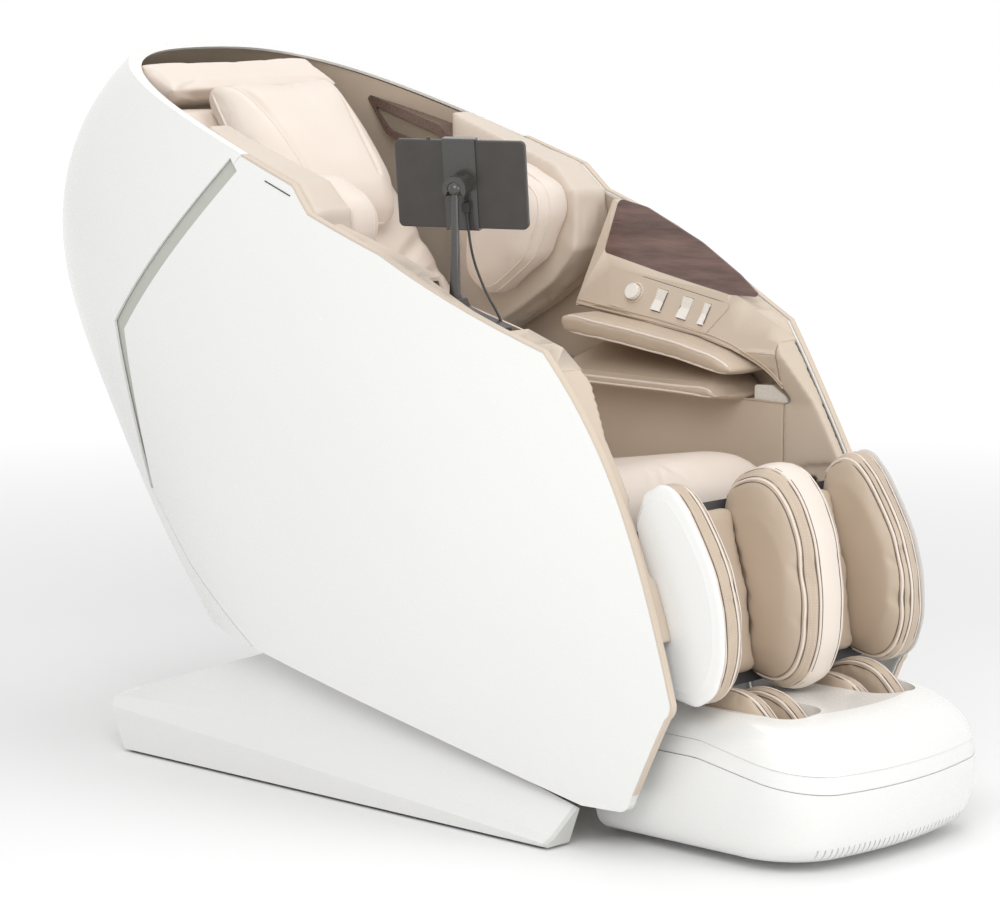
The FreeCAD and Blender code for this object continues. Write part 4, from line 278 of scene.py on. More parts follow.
# Wood inlays
# Dark brown veneer under satin lacquer, let into the leaning face of each armrest. The grain
# runs forwards and slightly down, along the inlay.

veneer = Finish("dark_veneer", roughness=0.3, coat_weight=0.3, coat_roughness=0.15)
along_grain = veneer.node("ShaderNodeMapping", {}, {"Vector": veneer.place,
                                                    "Rotation": (0.42, 0.0, 0.0),
                                                    "Scale": (60.0, 7.0, 60.0)})
figure = veneer.cloud(1.0, 6.0, 0.6, along_grain)
fine_grain = veneer.node("ShaderNodeMapping", {}, {"Vector": veneer.place,
                                                   "Rotation": (0.42, 0.0, 0.0),
                                                   "Scale": (900.0, 30.0, 900.0)})
pores = veneer.cloud(1.0, 3.0, 0.6, fine_grain)
tone = veneer.stretch(figure * 0.75 + pores * 0.25, 0.35, 0.65, 0.0, 1.0)
veneer.set({"base_color": veneer.between(colour(0.085, 0.045, 0.038), colour(0.2, 0.115, 0.095), tone),
            "roughness": veneer.stretch(pores, 0.3, 0.7, 0.26, 0.4),
            "normal": veneer.bump(pores, 0.0002, 0.4)})
dress(veneer, "wood_inlays")


# Controls
# Off white plastic mouldings with a polished face: the knob and the three keys of the control
# panel, and the small rests in front of the arm cushions.

key_white = Finish("key_white", roughness=0.25, coat_weight=0.3)
wear = key_white.cloud(120.0)
key_white.set({"base_color": key_white.between(colour(0.85, 0.82, 0.76), colour(0.82, 0.79, 0.73), wear),
               "roughness": key_white.stretch(wear, 0.3, 0.7, 0.2, 0.32)})
dress(key_white, "control_knob", "rocker_1", "rocker_2", "rocker_3", "hand_rests")


# Speakers
# A moulded dark brown gloss bezel with a cloth grille behind it, on both sides of the head. The
# cloth's weave is two crossed waves.

bezel = Finish("speaker_bezel", roughness=0.28, coat_weight=0.2)
dust = bezel.cloud(200.0)
bezel.set({"base_color": bezel.between(colour(0.13, 0.085, 0.07), colour(0.16, 0.105, 0.085), dust),
           "roughness": bezel.stretch(dust, 0.3, 0.7, 0.24, 0.36)})
dress(bezel, "speaker_frames")
mesh_cloth = Finish("speaker_mesh", roughness=0.8)
MESH_PITCH = 0.0035
split = mesh_cloth.node("ShaderNodeSeparateXYZ", {}, {0: mesh_cloth.place}, "Y")
level = mesh_cloth.node("ShaderNodeSeparateXYZ", {}, {0: mesh_cloth.place}, "Z")
turns = 2 * math.pi / MESH_PITCH
warp = mesh_cloth.node("ShaderNodeMath", {"operation": "SINE"}, {0: (split + level) * turns})
weft = mesh_cloth.node("ShaderNodeMath", {"operation": "SINE"}, {0: (split - level) * turns})
weave = mesh_cloth.stretch(warp * weft, -1.0, 1.0, 0.0, 1.0)
mesh_cloth.set({"base_color": mesh_cloth.between(colour(0.07, 0.055, 0.04), colour(0.5, 0.42, 0.32), weave),
                "normal": mesh_cloth.bump(weave, 0.0008, 0.8)})
dress(mesh_cloth, "speaker_grilles")


# Tablet and its holder
# A black plastic tablet in a folded metal bracket, on a tapering lacquered stalk with a ball joint,
# which stands in a tray on the right armrest.

tablet_black = Finish("tablet_black", roughness=0.38)
bloom = tablet_black.cloud(40.0)
tablet_black.set({"base_color": tablet_black.between(colour(0.035, 0.031, 0.028),
                                                     colour(0.055, 0.048, 0.042), bloom),
                  "roughness": tablet_black.stretch(bloom, 0.3, 0.7, 0.32, 0.45)})
dress(tablet_black, "tablet", "tablet_tray")
lacquer = Finish("black_lacquer", roughness=0.22, coat_weight=0.4)
speck = lacquer.cloud(300.0)
lacquer.set({"base_color": lacquer.between(colour(0.045, 0.042, 0.038), colour(0.06, 0.056, 0.05), speck),
             "roughness": lacquer.stretch(speck, 0.3, 0.7, 0.18, 0.28)})
dress(lacquer, "tablet_stalk", "tablet_bracket", "ball_socket")


# Structure under the covers
# Powder coated steel for the base frame, the seat plates and the back rails, ground steel rods,
# black plastic housings and rubber feet and wheels.

powder = Finish("powder_coat", metallic=0.3, roughness=0.5)
orange = powder.cloud(700.0)
powder.set({"base_color": powder.between(colour(0.07, 0.07, 0.075), colour(0.1, 0.1, 0.105), orange),
            "roughness": powder.stretch(orange, 0.3, 0.7, 0.42, 0.58),
            "normal": powder.bump(orange, 0.0002, 0.5)})
dress(powder, "base_frame", "seat_side_plates", "cross_tubes", "seat_pan", "back_rails", "calf_frame")
ground_steel = Finish("ground_steel", metallic=1.0, roughness=0.25)
lay_lines = ground_steel.cloud(1500.0)
ground_steel.set({"base_color": ground_steel.between(colour(0.5, 0.5, 0.5), colour(0.62, 0.62, 0.62),
                                                     lay_lines),
                  "roughness": ground_steel.stretch(lay_lines, 0.3, 0.7, 0.2, 0.34)})
dress(ground_steel, "tilt_rod", "foot_guide_rods")
housing = Finish("housing_black", roughness=0.5)
spark = housing.cloud(900.0)
housing.set({"base_color": housing.between(colour(0.035, 0.035, 0.036), colour(0.05, 0.05, 0.052), spark),
             "roughness": housing.stretch(spark, 0.3, 0.7, 0.42, 0.58),
             "normal": housing.bump(spark, 0.0002, 0.4)})
dress(housing, "power_box", "air_pump", "tilt_motor", "massage_carriage")
dress(black_rubber, "base_feet", "transport_wheels", "massage_rollers", "sole_rollers")


# Leather
# Synthetic leather covers all padding. It has a fine pebble grain, a soft shine that breaks up
# along the grain, and a little colour drift.

def leather(name, light, dark, grain_size=0.0016, band=None, half_band=0.0):
    """Leather of one colour, or with a band of another colour about the chair's middle plane."""
    finish = Finish(name, roughness=0.45, sheen_weight=0.08, sheen_roughness=0.4)
    pebble = finish.node("ShaderNodeTexVoronoi", {"feature": "SMOOTH_F1"},
                         {"Vector": finish.place, "Scale": 1.0 / grain_size, "Smoothness": 0.6},
                         "Distance")
    fold = finish.cloud(90.0, 4.0)
    drift = finish.cloud(7.0, 2.0)
    height = pebble * 0.7 + fold * 0.3
    tint = finish.between(light, dark, finish.stretch(drift, 0.3, 0.7, 0.0, 1.0))
    if band is not None:
        across = finish.node("ShaderNodeSeparateXYZ", {}, {0: finish.place}, "X")
        tint = finish.between(tint, band, across * across < half_band * half_band)
    finish.set({"base_color": tint,
                "roughness": finish.stretch(height, 0.2, 0.8, 0.38, 0.56),
                "normal": finish.bump(height, 0.0004, 0.35)})
    return finish


pale_leather = leather("pale_leather", colour(0.8, 0.71, 0.63), colour(0.77, 0.675, 0.595))
beige_leather = leather("beige_leather", colour(0.56, 0.455, 0.355), colour(0.52, 0.42, 0.32))
arm_leather = leather("arm_leather", colour(0.62, 0.52, 0.42), colour(0.59, 0.49, 0.39), 0.0012)
banded_leather = leather("banded_leather", colour(0.56, 0.455, 0.355), colour(0.52, 0.42, 0.32),
                         band=colour(0.8, 0.71, 0.63), half_band=0.026)
thread = leather("pale_thread", colour(0.75, 0.66, 0.56), colour(0.7, 0.61, 0.51), 0.0006)
# A dark leather for painted shade: it colours thin lines laid in the grooves beside the pipings and round
# the control panel and its keys, where shade falls.
painted_seam_shade = leather("painted_seam_shade", colour(0.17, 0.125, 0.09), colour(0.13, 0.095, 0.07), 0.0006)


# Back cushion
# A long padded mat with sewn channels that rise from its middle to its edges. It is lifted off its
# CAD solid, blown up as foam under leather, and the channels are pressed in again afterwards.

def choose(piece):
    bpy.ops.object.select_all(action="DESELECT")
    piece.select_set(True)
    bpy.context.view_layer.objects.active = piece


def lift_off(name, node, side=0):
    """A soft piece starts as its CAD solid's own form, merged. A side of 1 or -1 keeps that half."""
    data = nodes[node].data.copy()
    data.materials.clear()
    piece = bpy.data.objects.new(name, data)
    bpy.context.collection.objects.link(piece)
    choose(piece)
    bpy.ops.object.mode_set(mode="EDIT")
    bpy.ops.mesh.select_all(action="SELECT")
    bpy.ops.mesh.remove_doubles(threshold=0.00005)
    bpy.ops.object.mode_set(mode="OBJECT")
    if side:
        sheet = bmesh.new()
        sheet.from_mesh(data)
        away = [vertex for vertex in sheet.verts if vertex.co.x * side < 0]
        bmesh.ops.delete(sheet, geom=away, context="VERTS")
        sheet.to_mesh(data)
        sheet.free()
    return piece


def apply_last(piece):
    choose(piece)
    bpy.ops.object.modifier_apply(modifier=piece.modifiers[-1].name)


def soften(piece, voxel, rounds):
    """An even mesh with its edges eased, as leather over foam."""
    even = piece.modifiers.new("even", "REMESH")
    even.mode = "VOXEL"
    even.voxel_size = voxel
    apply_last(piece)
    ease = piece.modifiers.new("ease", "SMOOTH")
    ease.iterations = rounds
    ease.factor = 0.5
    apply_last(piece)


FOAM_PRESSURE = 4.0
FOAM_FRAMES = 20


def swell(piece, voxel, cap, smooth=6):
    """Foam under leather: an even mesh under air pressure, with no point moving past the cap."""
    soften(piece, voxel, smooth)
    before = [vertex.co.copy() for vertex in piece.data.vertices]
    cloth = piece.modifiers.new("cloth", "CLOTH")
    cloth.settings.use_pressure = True
    cloth.settings.uniform_pressure_force = FOAM_PRESSURE
    cloth.settings.effector_weights.gravity = 0.0
    cloth.point_cache.frame_end = FOAM_FRAMES
    for number in range(1, FOAM_FRAMES + 1):
        bpy.context.scene.frame_set(number)
    apply_last(piece)
    bpy.context.scene.frame_set(1)
    for vertex, old in zip(piece.data.vertices, before):
        move = vertex.co - old
        if move.length > cap:
            vertex.co = old + move * (cap / move.length)
    piece.data.update()


def refine(piece):
    finer = piece.modifiers.new("finer", "SUBSURF")
    finer.levels = 1
    finer.render_levels = 1
    apply_last(piece)


def press(piece, line, wide, deep):
    """Presses a sewn channel into the piece along the line of points."""
    steps = []
    for start, end in zip(line, line[1:]):
        count = max(2, int((end - start).length / (wide * 0.25)))
        steps += [start.lerp(end, i / count) for i in range(count)]
    steps.append(line[-1])
    tree = KDTree(len(steps))
    for number, step in enumerate(steps):
        tree.insert(step, number)
    tree.balance()
    normals = [vertex.normal.copy() for vertex in piece.data.vertices]
    for vertex, normal in zip(piece.data.vertices, normals):
        near = tree.find(vertex.co)[2]
        if near < wide:
            share = 1.0 - near / wide
            vertex.co -= normal * deep * share * share * (3.0 - 2.0 * share)
    piece.data.update()


def land(piece, line, way, reach=0.2):
    """The line of points, dropped onto the piece against the way."""
    landed = []
    for point in line:
        hit, place, _, _ = piece.ray_cast(point + way * reach, -way, distance=2 * reach)
        landed.append(place.copy() if hit else point.copy())
    return landed


def finish_pad(piece, finish, body, slot, *node_names, fill=0.7, trims=()):
    """Material, parts sewn on and smooth shading; the pad is hung on its body and its CAD nodes are hidden.
    """
    piece.data.materials.clear()
    piece.data.materials.append(finish.material)
    for trim, trim_finish in trims:
        trim.data.materials.clear()
        trim.data.materials.append(trim_finish.material)
    if trims:
        bpy.ops.object.select_all(action="DESELECT")
        for trim, _ in trims:
            trim.select_set(True)
        piece.select_set(True)
        bpy.context.view_layer.objects.active = piece
        bpy.ops.object.join()
    choose(piece)
    bpy.ops.object.shade_smooth()
    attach(piece, body)
    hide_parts(*node_names)


BACK_FOOT = Vector((0.0, 0.0174, 0.462))
BACK_UP = Vector((0.0, 0.540, 0.650)).normalized()
BACK_OUT = Vector((0.0, -BACK_UP.z, BACK_UP.y))
BACK_HALF = 0.236
CHANNELS = 6
LOWEST_CHANNEL = 0.07
CHANNEL_PITCH = 0.066
CHANNEL_SLOPE = 0.15 / 0.256


def on_back(u, v, w=0.0):
    return BACK_FOOT + Vector((u, 0, 0)) + BACK_UP * v + BACK_OUT * w


back_mat = lift_off("back_mat", "back_cushion")
swell(back_mat, voxel=0.007, cap=0.006)
refine(back_mat)
for channel in range(CHANNELS):
    rise = LOWEST_CHANNEL + channel * CHANNEL_PITCH
    for side in (-1, 1):
        line = [on_back(side * BACK_HALF * share, rise + CHANNEL_SLOPE * share * BACK_HALF)
                for share in (0.0, 0.25, 0.5, 0.75, 0.97)]
        press(back_mat, land(back_mat, line, BACK_OUT), wide=0.022, deep=0.007)
finish_pad(back_mat, pale_leather, "capsule", "pale_leather", "back_cushion", fill=0.6)


# Pillow
# A lens shaped pad over the head end of the back, piped all round its edge, with two curved
# seams that set off its side panels.

def spaced(line, pitch):
    """Points at an even pitch along the line."""
    points = [line[0].copy()]
    left = pitch
    for start, end in zip(line, line[1:]):
        run = (end - start).length
        at = 0.0
        while run - at > left:
            at += left
            points.append(start.lerp(end, at / run))
            left = pitch
        left -= run - at
    return points


def tube(name, line, radius, closed=False):
    """A piping cord along the line, as a mesh."""
    curve = bpy.data.curves.new(name, "CURVE")
    curve.dimensions = "3D"
    curve.bevel_depth = radius
    curve.bevel_resolution = 2
    curve.resolution_u = 3
    curve.use_fill_caps = True
    run = curve.splines.new("NURBS")
    run.points.add(len(line) - 1)
    for point, place in zip(run.points, line):
        point.co = (*place, 1.0)
    run.order_u = 3
    run.use_endpoint_u = not closed
    run.use_cyclic_u = closed
    holder = bpy.data.objects.new(name, curve)
    mesh = bpy.data.meshes.new_from_object(holder)
    bpy.data.objects.remove(holder)
    piece = bpy.data.objects.new(name, mesh)
    bpy.context.collection.objects.link(piece)
    return piece


STITCH_PITCH = 0.0045
STITCH_LONG = 0.003
THREAD_RADIUS = 0.00045


def stitches(name, line):
    """A row of thread dashes along the line, as one mesh."""
    points = spaced(line, STITCH_PITCH)
    sheet = bmesh.new()
    for start, end in zip(points, points[1:]):
        way = end - start
        if way.length < 1e-6:
            continue
        way.normalize()
        turn = Vector((0, 0, 1)).rotation_difference(way).to_matrix().to_4x4()
        turn.translation = start.lerp(end, 0.5)
        bmesh.ops.create_cone(sheet, cap_ends=True, segments=5, radius1=THREAD_RADIUS,
                              radius2=THREAD_RADIUS, depth=STITCH_LONG, matrix=turn)
    mesh = bpy.data.meshes.new(name)
    sheet.to_mesh(mesh)
    sheet.free()
    piece = bpy.data.objects.new(name, mesh)
    bpy.context.collection.objects.link(piece)
    return piece


def rim_line(piece, point, normal, keep=None):
    """Where a plane cuts the piece: its longest outline, as points in order."""
    sheet = bmesh.new()
    sheet.from_mesh(piece.data)
    cut = bmesh.ops.bisect_plane(sheet, geom=sheet.verts[:] + sheet.edges[:] + sheet.faces[:],
                                 plane_co=point, plane_no=normal)
    edges = {edge for edge in cut["geom_cut"] if isinstance(edge, bmesh.types.BMEdge)}
    lines = []
    while edges:
        edge = edges.pop()
        chain = list(edge.verts)
        for end in (True, False):
            going = True
            while going:
                tip = chain[-1] if end else chain[0]
                going = False
                for other in tip.link_edges:
                    if other in edges:
                        edges.discard(other)
                        following = other.other_vert(tip)
                        if end:
                            chain.append(following)
                        else:
                            chain.insert(0, following)
                        going = True
                        break
        lines.append([vertex.co.copy() for vertex in chain])
    sheet.free()
    lines.sort(key=lambda chain: -sum((b - a).length for a, b in zip(chain, chain[1:])))
    line = lines[0]
    if keep is not None:
        inside = [keep(place) for place in line]
        if not all(inside):
            start = next(i for i in range(len(line)) if inside[i] and not inside[i - 1])
            line = line[start:] + line[:start]
            inside = inside[start:] + inside[:start]
            line = [place for place, held in zip(line, inside) if held]
    return line


def eased(line, pitch, rounds=4, closed=False):
    """The line at an even pitch, smoothed."""
    if closed:
        line = line + [line[0]]
    points = spaced(line, pitch)
    for _ in range(rounds):
        count = len(points)
        fresh = []
        for i, point in enumerate(points):
            if not closed and i in (0, count - 1):
                fresh.append(point)
            else:
                fresh.append((points[i - 1] + point * 2.0 + points[(i + 1) % count]) / 4.0)
        points = fresh
    return points


pillow_pad = lift_off("pillow_pad", "pillow")
swell(pillow_pad, voxel=0.006, cap=0.008)
refine(pillow_pad)
PILLOW_LOW = 0.527
PILLOW_SEAM = ((0.118, 0.305), (0.106, 0.25), (0.094, 0.19), (0.087, 0.13), (0.084, 0.075))
seams = []
for side in (-1, 1):
    line = [on_back(side * u, PILLOW_LOW + v, 0.05) for u, v in PILLOW_SEAM]
    landed = eased(land(pillow_pad, eased(line, 0.01), BACK_OUT), 0.004)
    press(pillow_pad, landed, wide=0.012, deep=0.0035)
    seams.append((stitches("pillow_seam", land(pillow_pad, landed, BACK_OUT)), beige_leather))
edge = eased(rim_line(pillow_pad, on_back(0, 0, 0.04), BACK_OUT), 0.008, closed=True)
seams.append((tube("pillow_piping", edge, 0.0028, closed=True), pale_leather))
finish_pad(pillow_pad, pale_leather, "capsule", "pale_leather", "pillow", fill=0.9, trims=seams)


# Seat cushion
# A crowned bench cushion of foam under leather, which fills the width between the armrests. It is
# lifted off its CAD solid and blown up, as the back is.

seat_pad = lift_off("seat_pad", "seat_cushion")
swell(seat_pad, voxel=0.008, cap=0.008)
refine(seat_pad)
finish_pad(seat_pad, pale_leather, "capsule", "pale_leather", "seat_cushion", fill=0.8)


# Shoulder pads
# Round leather bolsters on the wings beside the head, with two rows of piping round their inner
# face. One is shaped, and the other is its mirror image.

def mirrored(name, piece):
    """The same piece for the other side of the chair."""
    data = piece.data.copy()
    twin = bpy.data.objects.new(name, data)
    bpy.context.collection.objects.link(twin)
    for vertex in data.vertices:
        vertex.co.x = -vertex.co.x
    data.flip_normals()
    return twin


def joined(name, *pieces):
    bpy.ops.object.select_all(action="DESELECT")
    for piece in pieces:
        piece.select_set(True)
    bpy.context.view_layer.objects.active = pieces[0]
    bpy.ops.object.join()
    pieces[0].name = name
    return pieces[0]


BOLSTER_PIPINGS = (0.196, 0.212)
right_bolster = lift_off("right_bolster", "shoulder_pads", -1)
swell(right_bolster, voxel=0.006, cap=0.006)
refine(right_bolster)
left_bolster = mirrored("left_bolster", right_bolster)
bolsters = joined("shoulder_bolsters", right_bolster, left_bolster)
trims = []
for side in (-1, 1):
    for x in BOLSTER_PIPINGS:
        line = rim_line(bolsters, Vector((side * x, 0, 0)), Vector((1, 0, 0)))
        trims.append((tube("bolster_piping", eased(line, 0.008, closed=True), 0.0022, closed=True),
                      pale_leather))
finish_pad(bolsters, pale_leather, "capsule", "pale_leather", "shoulder_pads", fill=0.8, trims=trims)


# Arm cushions
# Flat leather air cushions above and below the forearm, loose enough to wrinkle. Piping and a row
# of stitches run round their inner end.

CUSHION_PIPING = 0.184
CUSHION_STITCHES = 0.196
for name, node in (("upper_arm_cushions", "arm_pads_upper"), ("lower_arm_cushions", "arm_pads_lower")):
    right_cushion = lift_off(name + "_right", node, -1)
    swell(right_cushion, voxel=0.005, cap=0.004, smooth=3)
    refine(right_cushion)
    left_cushion = mirrored(name + "_left", right_cushion)
    cushions = joined(name, right_cushion, left_cushion)
    trims = []
    for side in (-1, 1):
        line = rim_line(cushions, Vector((side * CUSHION_PIPING, 0, 0)), Vector((1, 0, 0)))
        trims.append((tube("cushion_piping", eased(line, 0.008, closed=True), 0.0022, closed=True),
                      pale_leather))
        line = rim_line(cushions, Vector((side * CUSHION_STITCHES, 0, 0)), Vector((1, 0, 0)))
        trims.append((stitches("cushion_seam", eased(line, 0.004, closed=True)), thread))
    finish_pad(cushions, beige_leather, "capsule", "beige_leather", node, fill=0.5, trims=trims)


# Armrests
# Leather covered armrests, each with a softer front piece sewn on at a seam. In front of the seam
# the inner side sweeps out to the front edge of the shell. The tables hold (z, y) of both.

ARM_FRONT = ((0.34, -0.646), (0.409, -0.6226), (0.466, -0.5956), (0.524, -0.5666), (0.581, -0.5336),
             (0.639, -0.4996), (0.697, -0.4596), (0.755, -0.4186))
ARM_SEAM = ((0.34, -0.4276), (0.634, -0.4276), (0.65, -0.4486), (0.70, -0.4426), (0.755, -0.4186))
ARM_INNER = 0.258
ARM_WALL = 0.01
ARM_SPLIT = -0.4276
BESIDE_CHAIR = 0.6
BEHIND_EDGE = 0.014
CREASE = math.radians(28)
CROSS_CUTS = [-0.4286 - 0.009 * i for i in range(25)]
LEVEL_CUTS = [0.35 + 0.015 * i for i in range(27)]


def at_height(table, z):
    for (z_low, y_low), (z_high, y_high) in zip(table, table[1:]):
        if z <= z_high:
            return y_low + (y_high - y_low) * max(0.0, z - z_low) / (z_high - z_low)
    return table[-1][1]


def sweep(y, z, thick):
    """How far the inner side is moved outwards at a place in front of the seam."""
    seam = at_height(ARM_SEAM, z)
    run = seam - at_height(ARM_FRONT, z)
    if y >= seam or run < 0.001:
        return 0.0
    return min(1.1 * run, thick - ARM_WALL) * min(1.0, (seam - y) / run) ** 1.2


def outer_half(armrest, side, z):
    """Half width of the armrest's outer skin, just behind its front edge at this height."""
    beside = Vector((side * BESIDE_CHAIR, at_height(ARM_FRONT, z) + BEHIND_EDGE, z))
    hit, skin, _, _ = armrest.ray_cast(beside, Vector((-side, 0, 0)))
    return abs(skin.x) if hit else ARM_INNER + ARM_WALL


for side, node in ((-1, "armrest_right"), (1, "armrest_left")):
    armrest = lift_off("leather_" + node, node)
    sheet = bmesh.new()
    sheet.from_mesh(armrest.data)
    cuts = [((0, y, 0), (0, 1, 0)) for y in CROSS_CUTS]
    cuts += [((0, 0, z), (0, 0, 1)) for z in LEVEL_CUTS]
    for place, normal in cuts:
        bmesh.ops.bisect_plane(sheet, geom=sheet.verts[:] + sheet.edges[:] + sheet.faces[:],
                               plane_co=place, plane_no=normal)
    bmesh.ops.triangulate(sheet, faces=sheet.faces[:])
    sheet.normal_update()
    skin = {vertex for face in sheet.faces if face.normal.x * side > 0.4 for vertex in face.verts}
    for vertex in sheet.verts:
        half = abs(vertex.co.x)
        outer = outer_half(armrest, side, vertex.co.z)
        push = sweep(vertex.co.y, vertex.co.z, outer - ARM_INNER)
        if push > 0.0 and half < outer and vertex not in skin:
            vertex.co.x = side * (half + push * (outer - half) / (outer - ARM_INNER))
    front = bpy.data.objects.new("armrest_front", armrest.data.copy())
    bpy.context.collection.objects.link(front)
    for piece, part in ((front, sheet.copy()), (armrest, sheet)):
        bmesh.ops.bisect_plane(part, geom=part.verts[:] + part.edges[:] + part.faces[:],
                               plane_co=(0, ARM_SPLIT, 0), plane_no=(0, 1, 0),
                               clear_outer=piece is front, clear_inner=piece is armrest)
        rim = [edge for edge in part.edges if edge.is_boundary]
        bmesh.ops.triangle_fill(part, edges=rim, use_beauty=True)
        bmesh.ops.recalc_face_normals(part, faces=part.faces[:])
        part.to_mesh(piece.data)
        part.free()
    choose(armrest)
    bpy.ops.object.shade_smooth_by_angle(angle=CREASE)
    soften(front, voxel=0.004, rounds=6)
    choose(front)
    bpy.ops.object.shade_smooth()
    armrest = joined("leather_" + node, armrest, front)
    armrest.data.materials.clear()
    armrest.data.materials.append(arm_leather.material)
    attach(armrest, "capsule")
    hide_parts(node)


# Armrest welts and seams
# A double welt follows the lip over the forearm, a single one the edge of the ledge below it, and
# a double row of stitches runs down the inner side of the armrest, near its front. A ring lies
# round the control knob, a dark bead frames the wood, and lines of painted shade outline the panel.

LIP_LINE = ((0.0234, 0.764), (-0.1456, 0.747), (-0.2556, 0.734), (-0.3416, 0.716), (-0.4056, 0.688),
            (-0.4366, 0.652))
LIP_LOW = 0.716
LIP_MIDDLE = 0.757
LIP_HALF = 0.25
LIP_LEAN = 0.4255
LEDGE = 0.634
LEDGE_LEAN = 0.311
WELT = 0.0018
SEAM_ROWS = (-0.4246, -0.4306)
SEAM_HALF = 0.2578
SEAM_LOW = 0.36


def arm_face(z):
    """Half width of the armrest's inner side at height z: it leans out above and below the lip."""
    if z > LIP_LOW:
        return LIP_HALF + (z - LIP_MIDDLE) * LIP_LEAN
    return ARM_INNER - (z - LEDGE) * LEDGE_LEAN


welts = []
for side in (-1, 1):
    for rise in (0.003, 0.009):
        line = eased([Vector((0, y, z + rise)) for y, z in LIP_LINE], 0.01, rounds=8)
        for place in line:
            place.x = side * arm_face(place.z)
        welts.append(tube("lip_welt", line, WELT))
    line = [Vector((side * ARM_INNER, y, LEDGE)) for y in (0.02, -0.2, -0.43)]
    welts.append(tube("ledge_welt", line, WELT))
arm_welts = joined("arm_welts", *welts)
arm_welts.data.materials.append(beige_leather.material)
bpy.ops.object.shade_smooth()
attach(arm_welts, "capsule")
PANEL_MIDDLE = Vector((0.2615, -0.1526, 0.784))
PANEL_ALONG = Vector((-0.0626, -0.9871, -0.1471))
PANEL_UP = Vector((0.3865, -0.1599, 0.9084))
PANEL_OUT = PANEL_ALONG.cross(PANEL_UP)
KNOB_AT = -0.054
RING_RADIUS = 0.0168


def on_panel(u, v, w):
    return PANEL_MIDDLE + PANEL_ALONG * u + PANEL_UP * v + PANEL_OUT * w


ring = [on_panel(KNOB_AT + RING_RADIUS * math.cos(turn), RING_RADIUS * math.sin(turn), 0.0018)
        for turn in [math.radians(15 * i) for i in range(24)]]
knob_ring = tube("knob_ring", ring, 0.0019, closed=True)
knob_ring.data.materials.append(beige_edge.material)
choose(knob_ring)
bpy.ops.object.shade_smooth()
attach(knob_ring, "capsule")
beads = []
for side in (-1, 1):
    out = Vector((-side * 0.9202, 0, 0.3915))
    middle = Vector((side * LIP_HALF, 0, LIP_MIDDLE))
    line = rim_line(nodes["wood_inlays"], middle - out * 0.001, out)
    beads.append(tube("inlay_bead", line, 0.0012, closed=True))
inlay_beads = joined("inlay_beads", *beads)
inlay_beads.data.materials.append(veneer.material)
bpy.ops.object.shade_smooth()
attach(inlay_beads, "capsule")
# Thin dark lines of painted shade trace the outline of the control panel and of its three keys, where the
# grooves round them lie in shadow.
outlines = [rim_line(nodes["control_panel"], PANEL_MIDDLE + PANEL_OUT * 0.0005, PANEL_OUT)]
outlines += [rim_line(nodes[name], PANEL_MIDDLE + PANEL_OUT * 0.0024, PANEL_OUT)
             for name in ("rocker_1", "rocker_2", "rocker_3")]
panel_shade_lines = joined("panel_shade_lines", *[tube("panel_line", line, 0.0011, closed=True) for line in outlines])
panel_shade_lines.data.materials.append(painted_seam_shade.material)
bpy.ops.object.shade_smooth()
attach(panel_shade_lines, "capsule")
rows = [stitches("arm_row", [Vector((side * SEAM_HALF, y, LEDGE - 0.008)),
                             Vector((side * SEAM_HALF, y, SEAM_LOW))])
        for side in (-1, 1) for y in SEAM_ROWS]
arm_seams = joined("arm_seams", *rows)
arm_seams.data.materials.append(thread.material)
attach(arm_seams, "capsule")


# Head wings and the flap behind the pillow
# Padded leather fins on both sides of the head, and a soft leather flap that closes the gap behind
# the pillow.

right_fin = lift_off("right_fin", "headrest_wings", -1)
swell(right_fin, voxel=0.006, cap=0.003, smooth=2)
left_fin = mirrored("left_fin", right_fin)
fins = joined("head_fins", right_fin, left_fin)
fin_leather = leather("fin_leather", colour(0.68, 0.59, 0.505), colour(0.65, 0.56, 0.475))
finish_pad(fins, fin_leather, "capsule", "beige_leather", "headrest_wings", fill=0.9)
top_flap = lift_off("top_flap", "back_top_panel")
swell(top_flap, voxel=0.005, cap=0.004, smooth=10)
refine(top_flap)
finish_pad(top_flap, pale_leather, "capsule", "pale_leather", "back_top_panel", fill=0.6)


# Calf pads
# Three lobes hold the calves: a thick one in the middle and one at each side. Every lobe has a smooth
# beige face, a band round its edge between rows of piping, and painted shade beside each piping.

# How far the thin lines of painted shade lie on each side of a piping.
PIPING_SHADE_OFFSET = 0.003


def lobe_trim(piece, pipings, seams, keep=None):
    """Piping with thin lines of painted shade beside it, and rows of stitches round a lobe, each row in a
    plane of constant X.
    """
    trims = []
    for x in pipings:
        line = eased(rim_line(piece, Vector((x, 0, 0)), Vector((1, 0, 0)), keep), 0.008)
        trims.append((tube("piping", line, 0.0024), pale_leather))
        # Thin dark lines on both sides of each piping are painted shade, where the seam's groove lies in
        # shadow.
        for beside in (x - PIPING_SHADE_OFFSET, x + PIPING_SHADE_OFFSET):
            line = eased(rim_line(piece, Vector((beside, 0, 0)), Vector((1, 0, 0)), keep), 0.008)
            trims.append((tube("piping_shade_line", line, 0.0011), painted_seam_shade))
    for x in seams:
        line = eased(rim_line(piece, Vector((x, 0, 0)), Vector((1, 0, 0)), keep), 0.004)
        trims.append((stitches("seam", line), thread))
    return trims


LOBE_PIPINGS = (0.203, 0.217, 0.243)
LOBE_STITCHES = (0.210, 0.224, 0.236)
MIDDLE_PIPINGS = (-0.047, -0.026, 0.026, 0.047)
MIDDLE_STITCHES = (-0.04, -0.033, 0.033, 0.04)
PLATE_FRONT = 0.034
KNEE = Vector((0.0, -0.5326, 0.5))
SHIN_OUT = Vector((0.0, -0.9785, 0.2062))


def in_front_of_plate(place):
    return (place - KNEE).dot(SHIN_OUT) > PLATE_FRONT


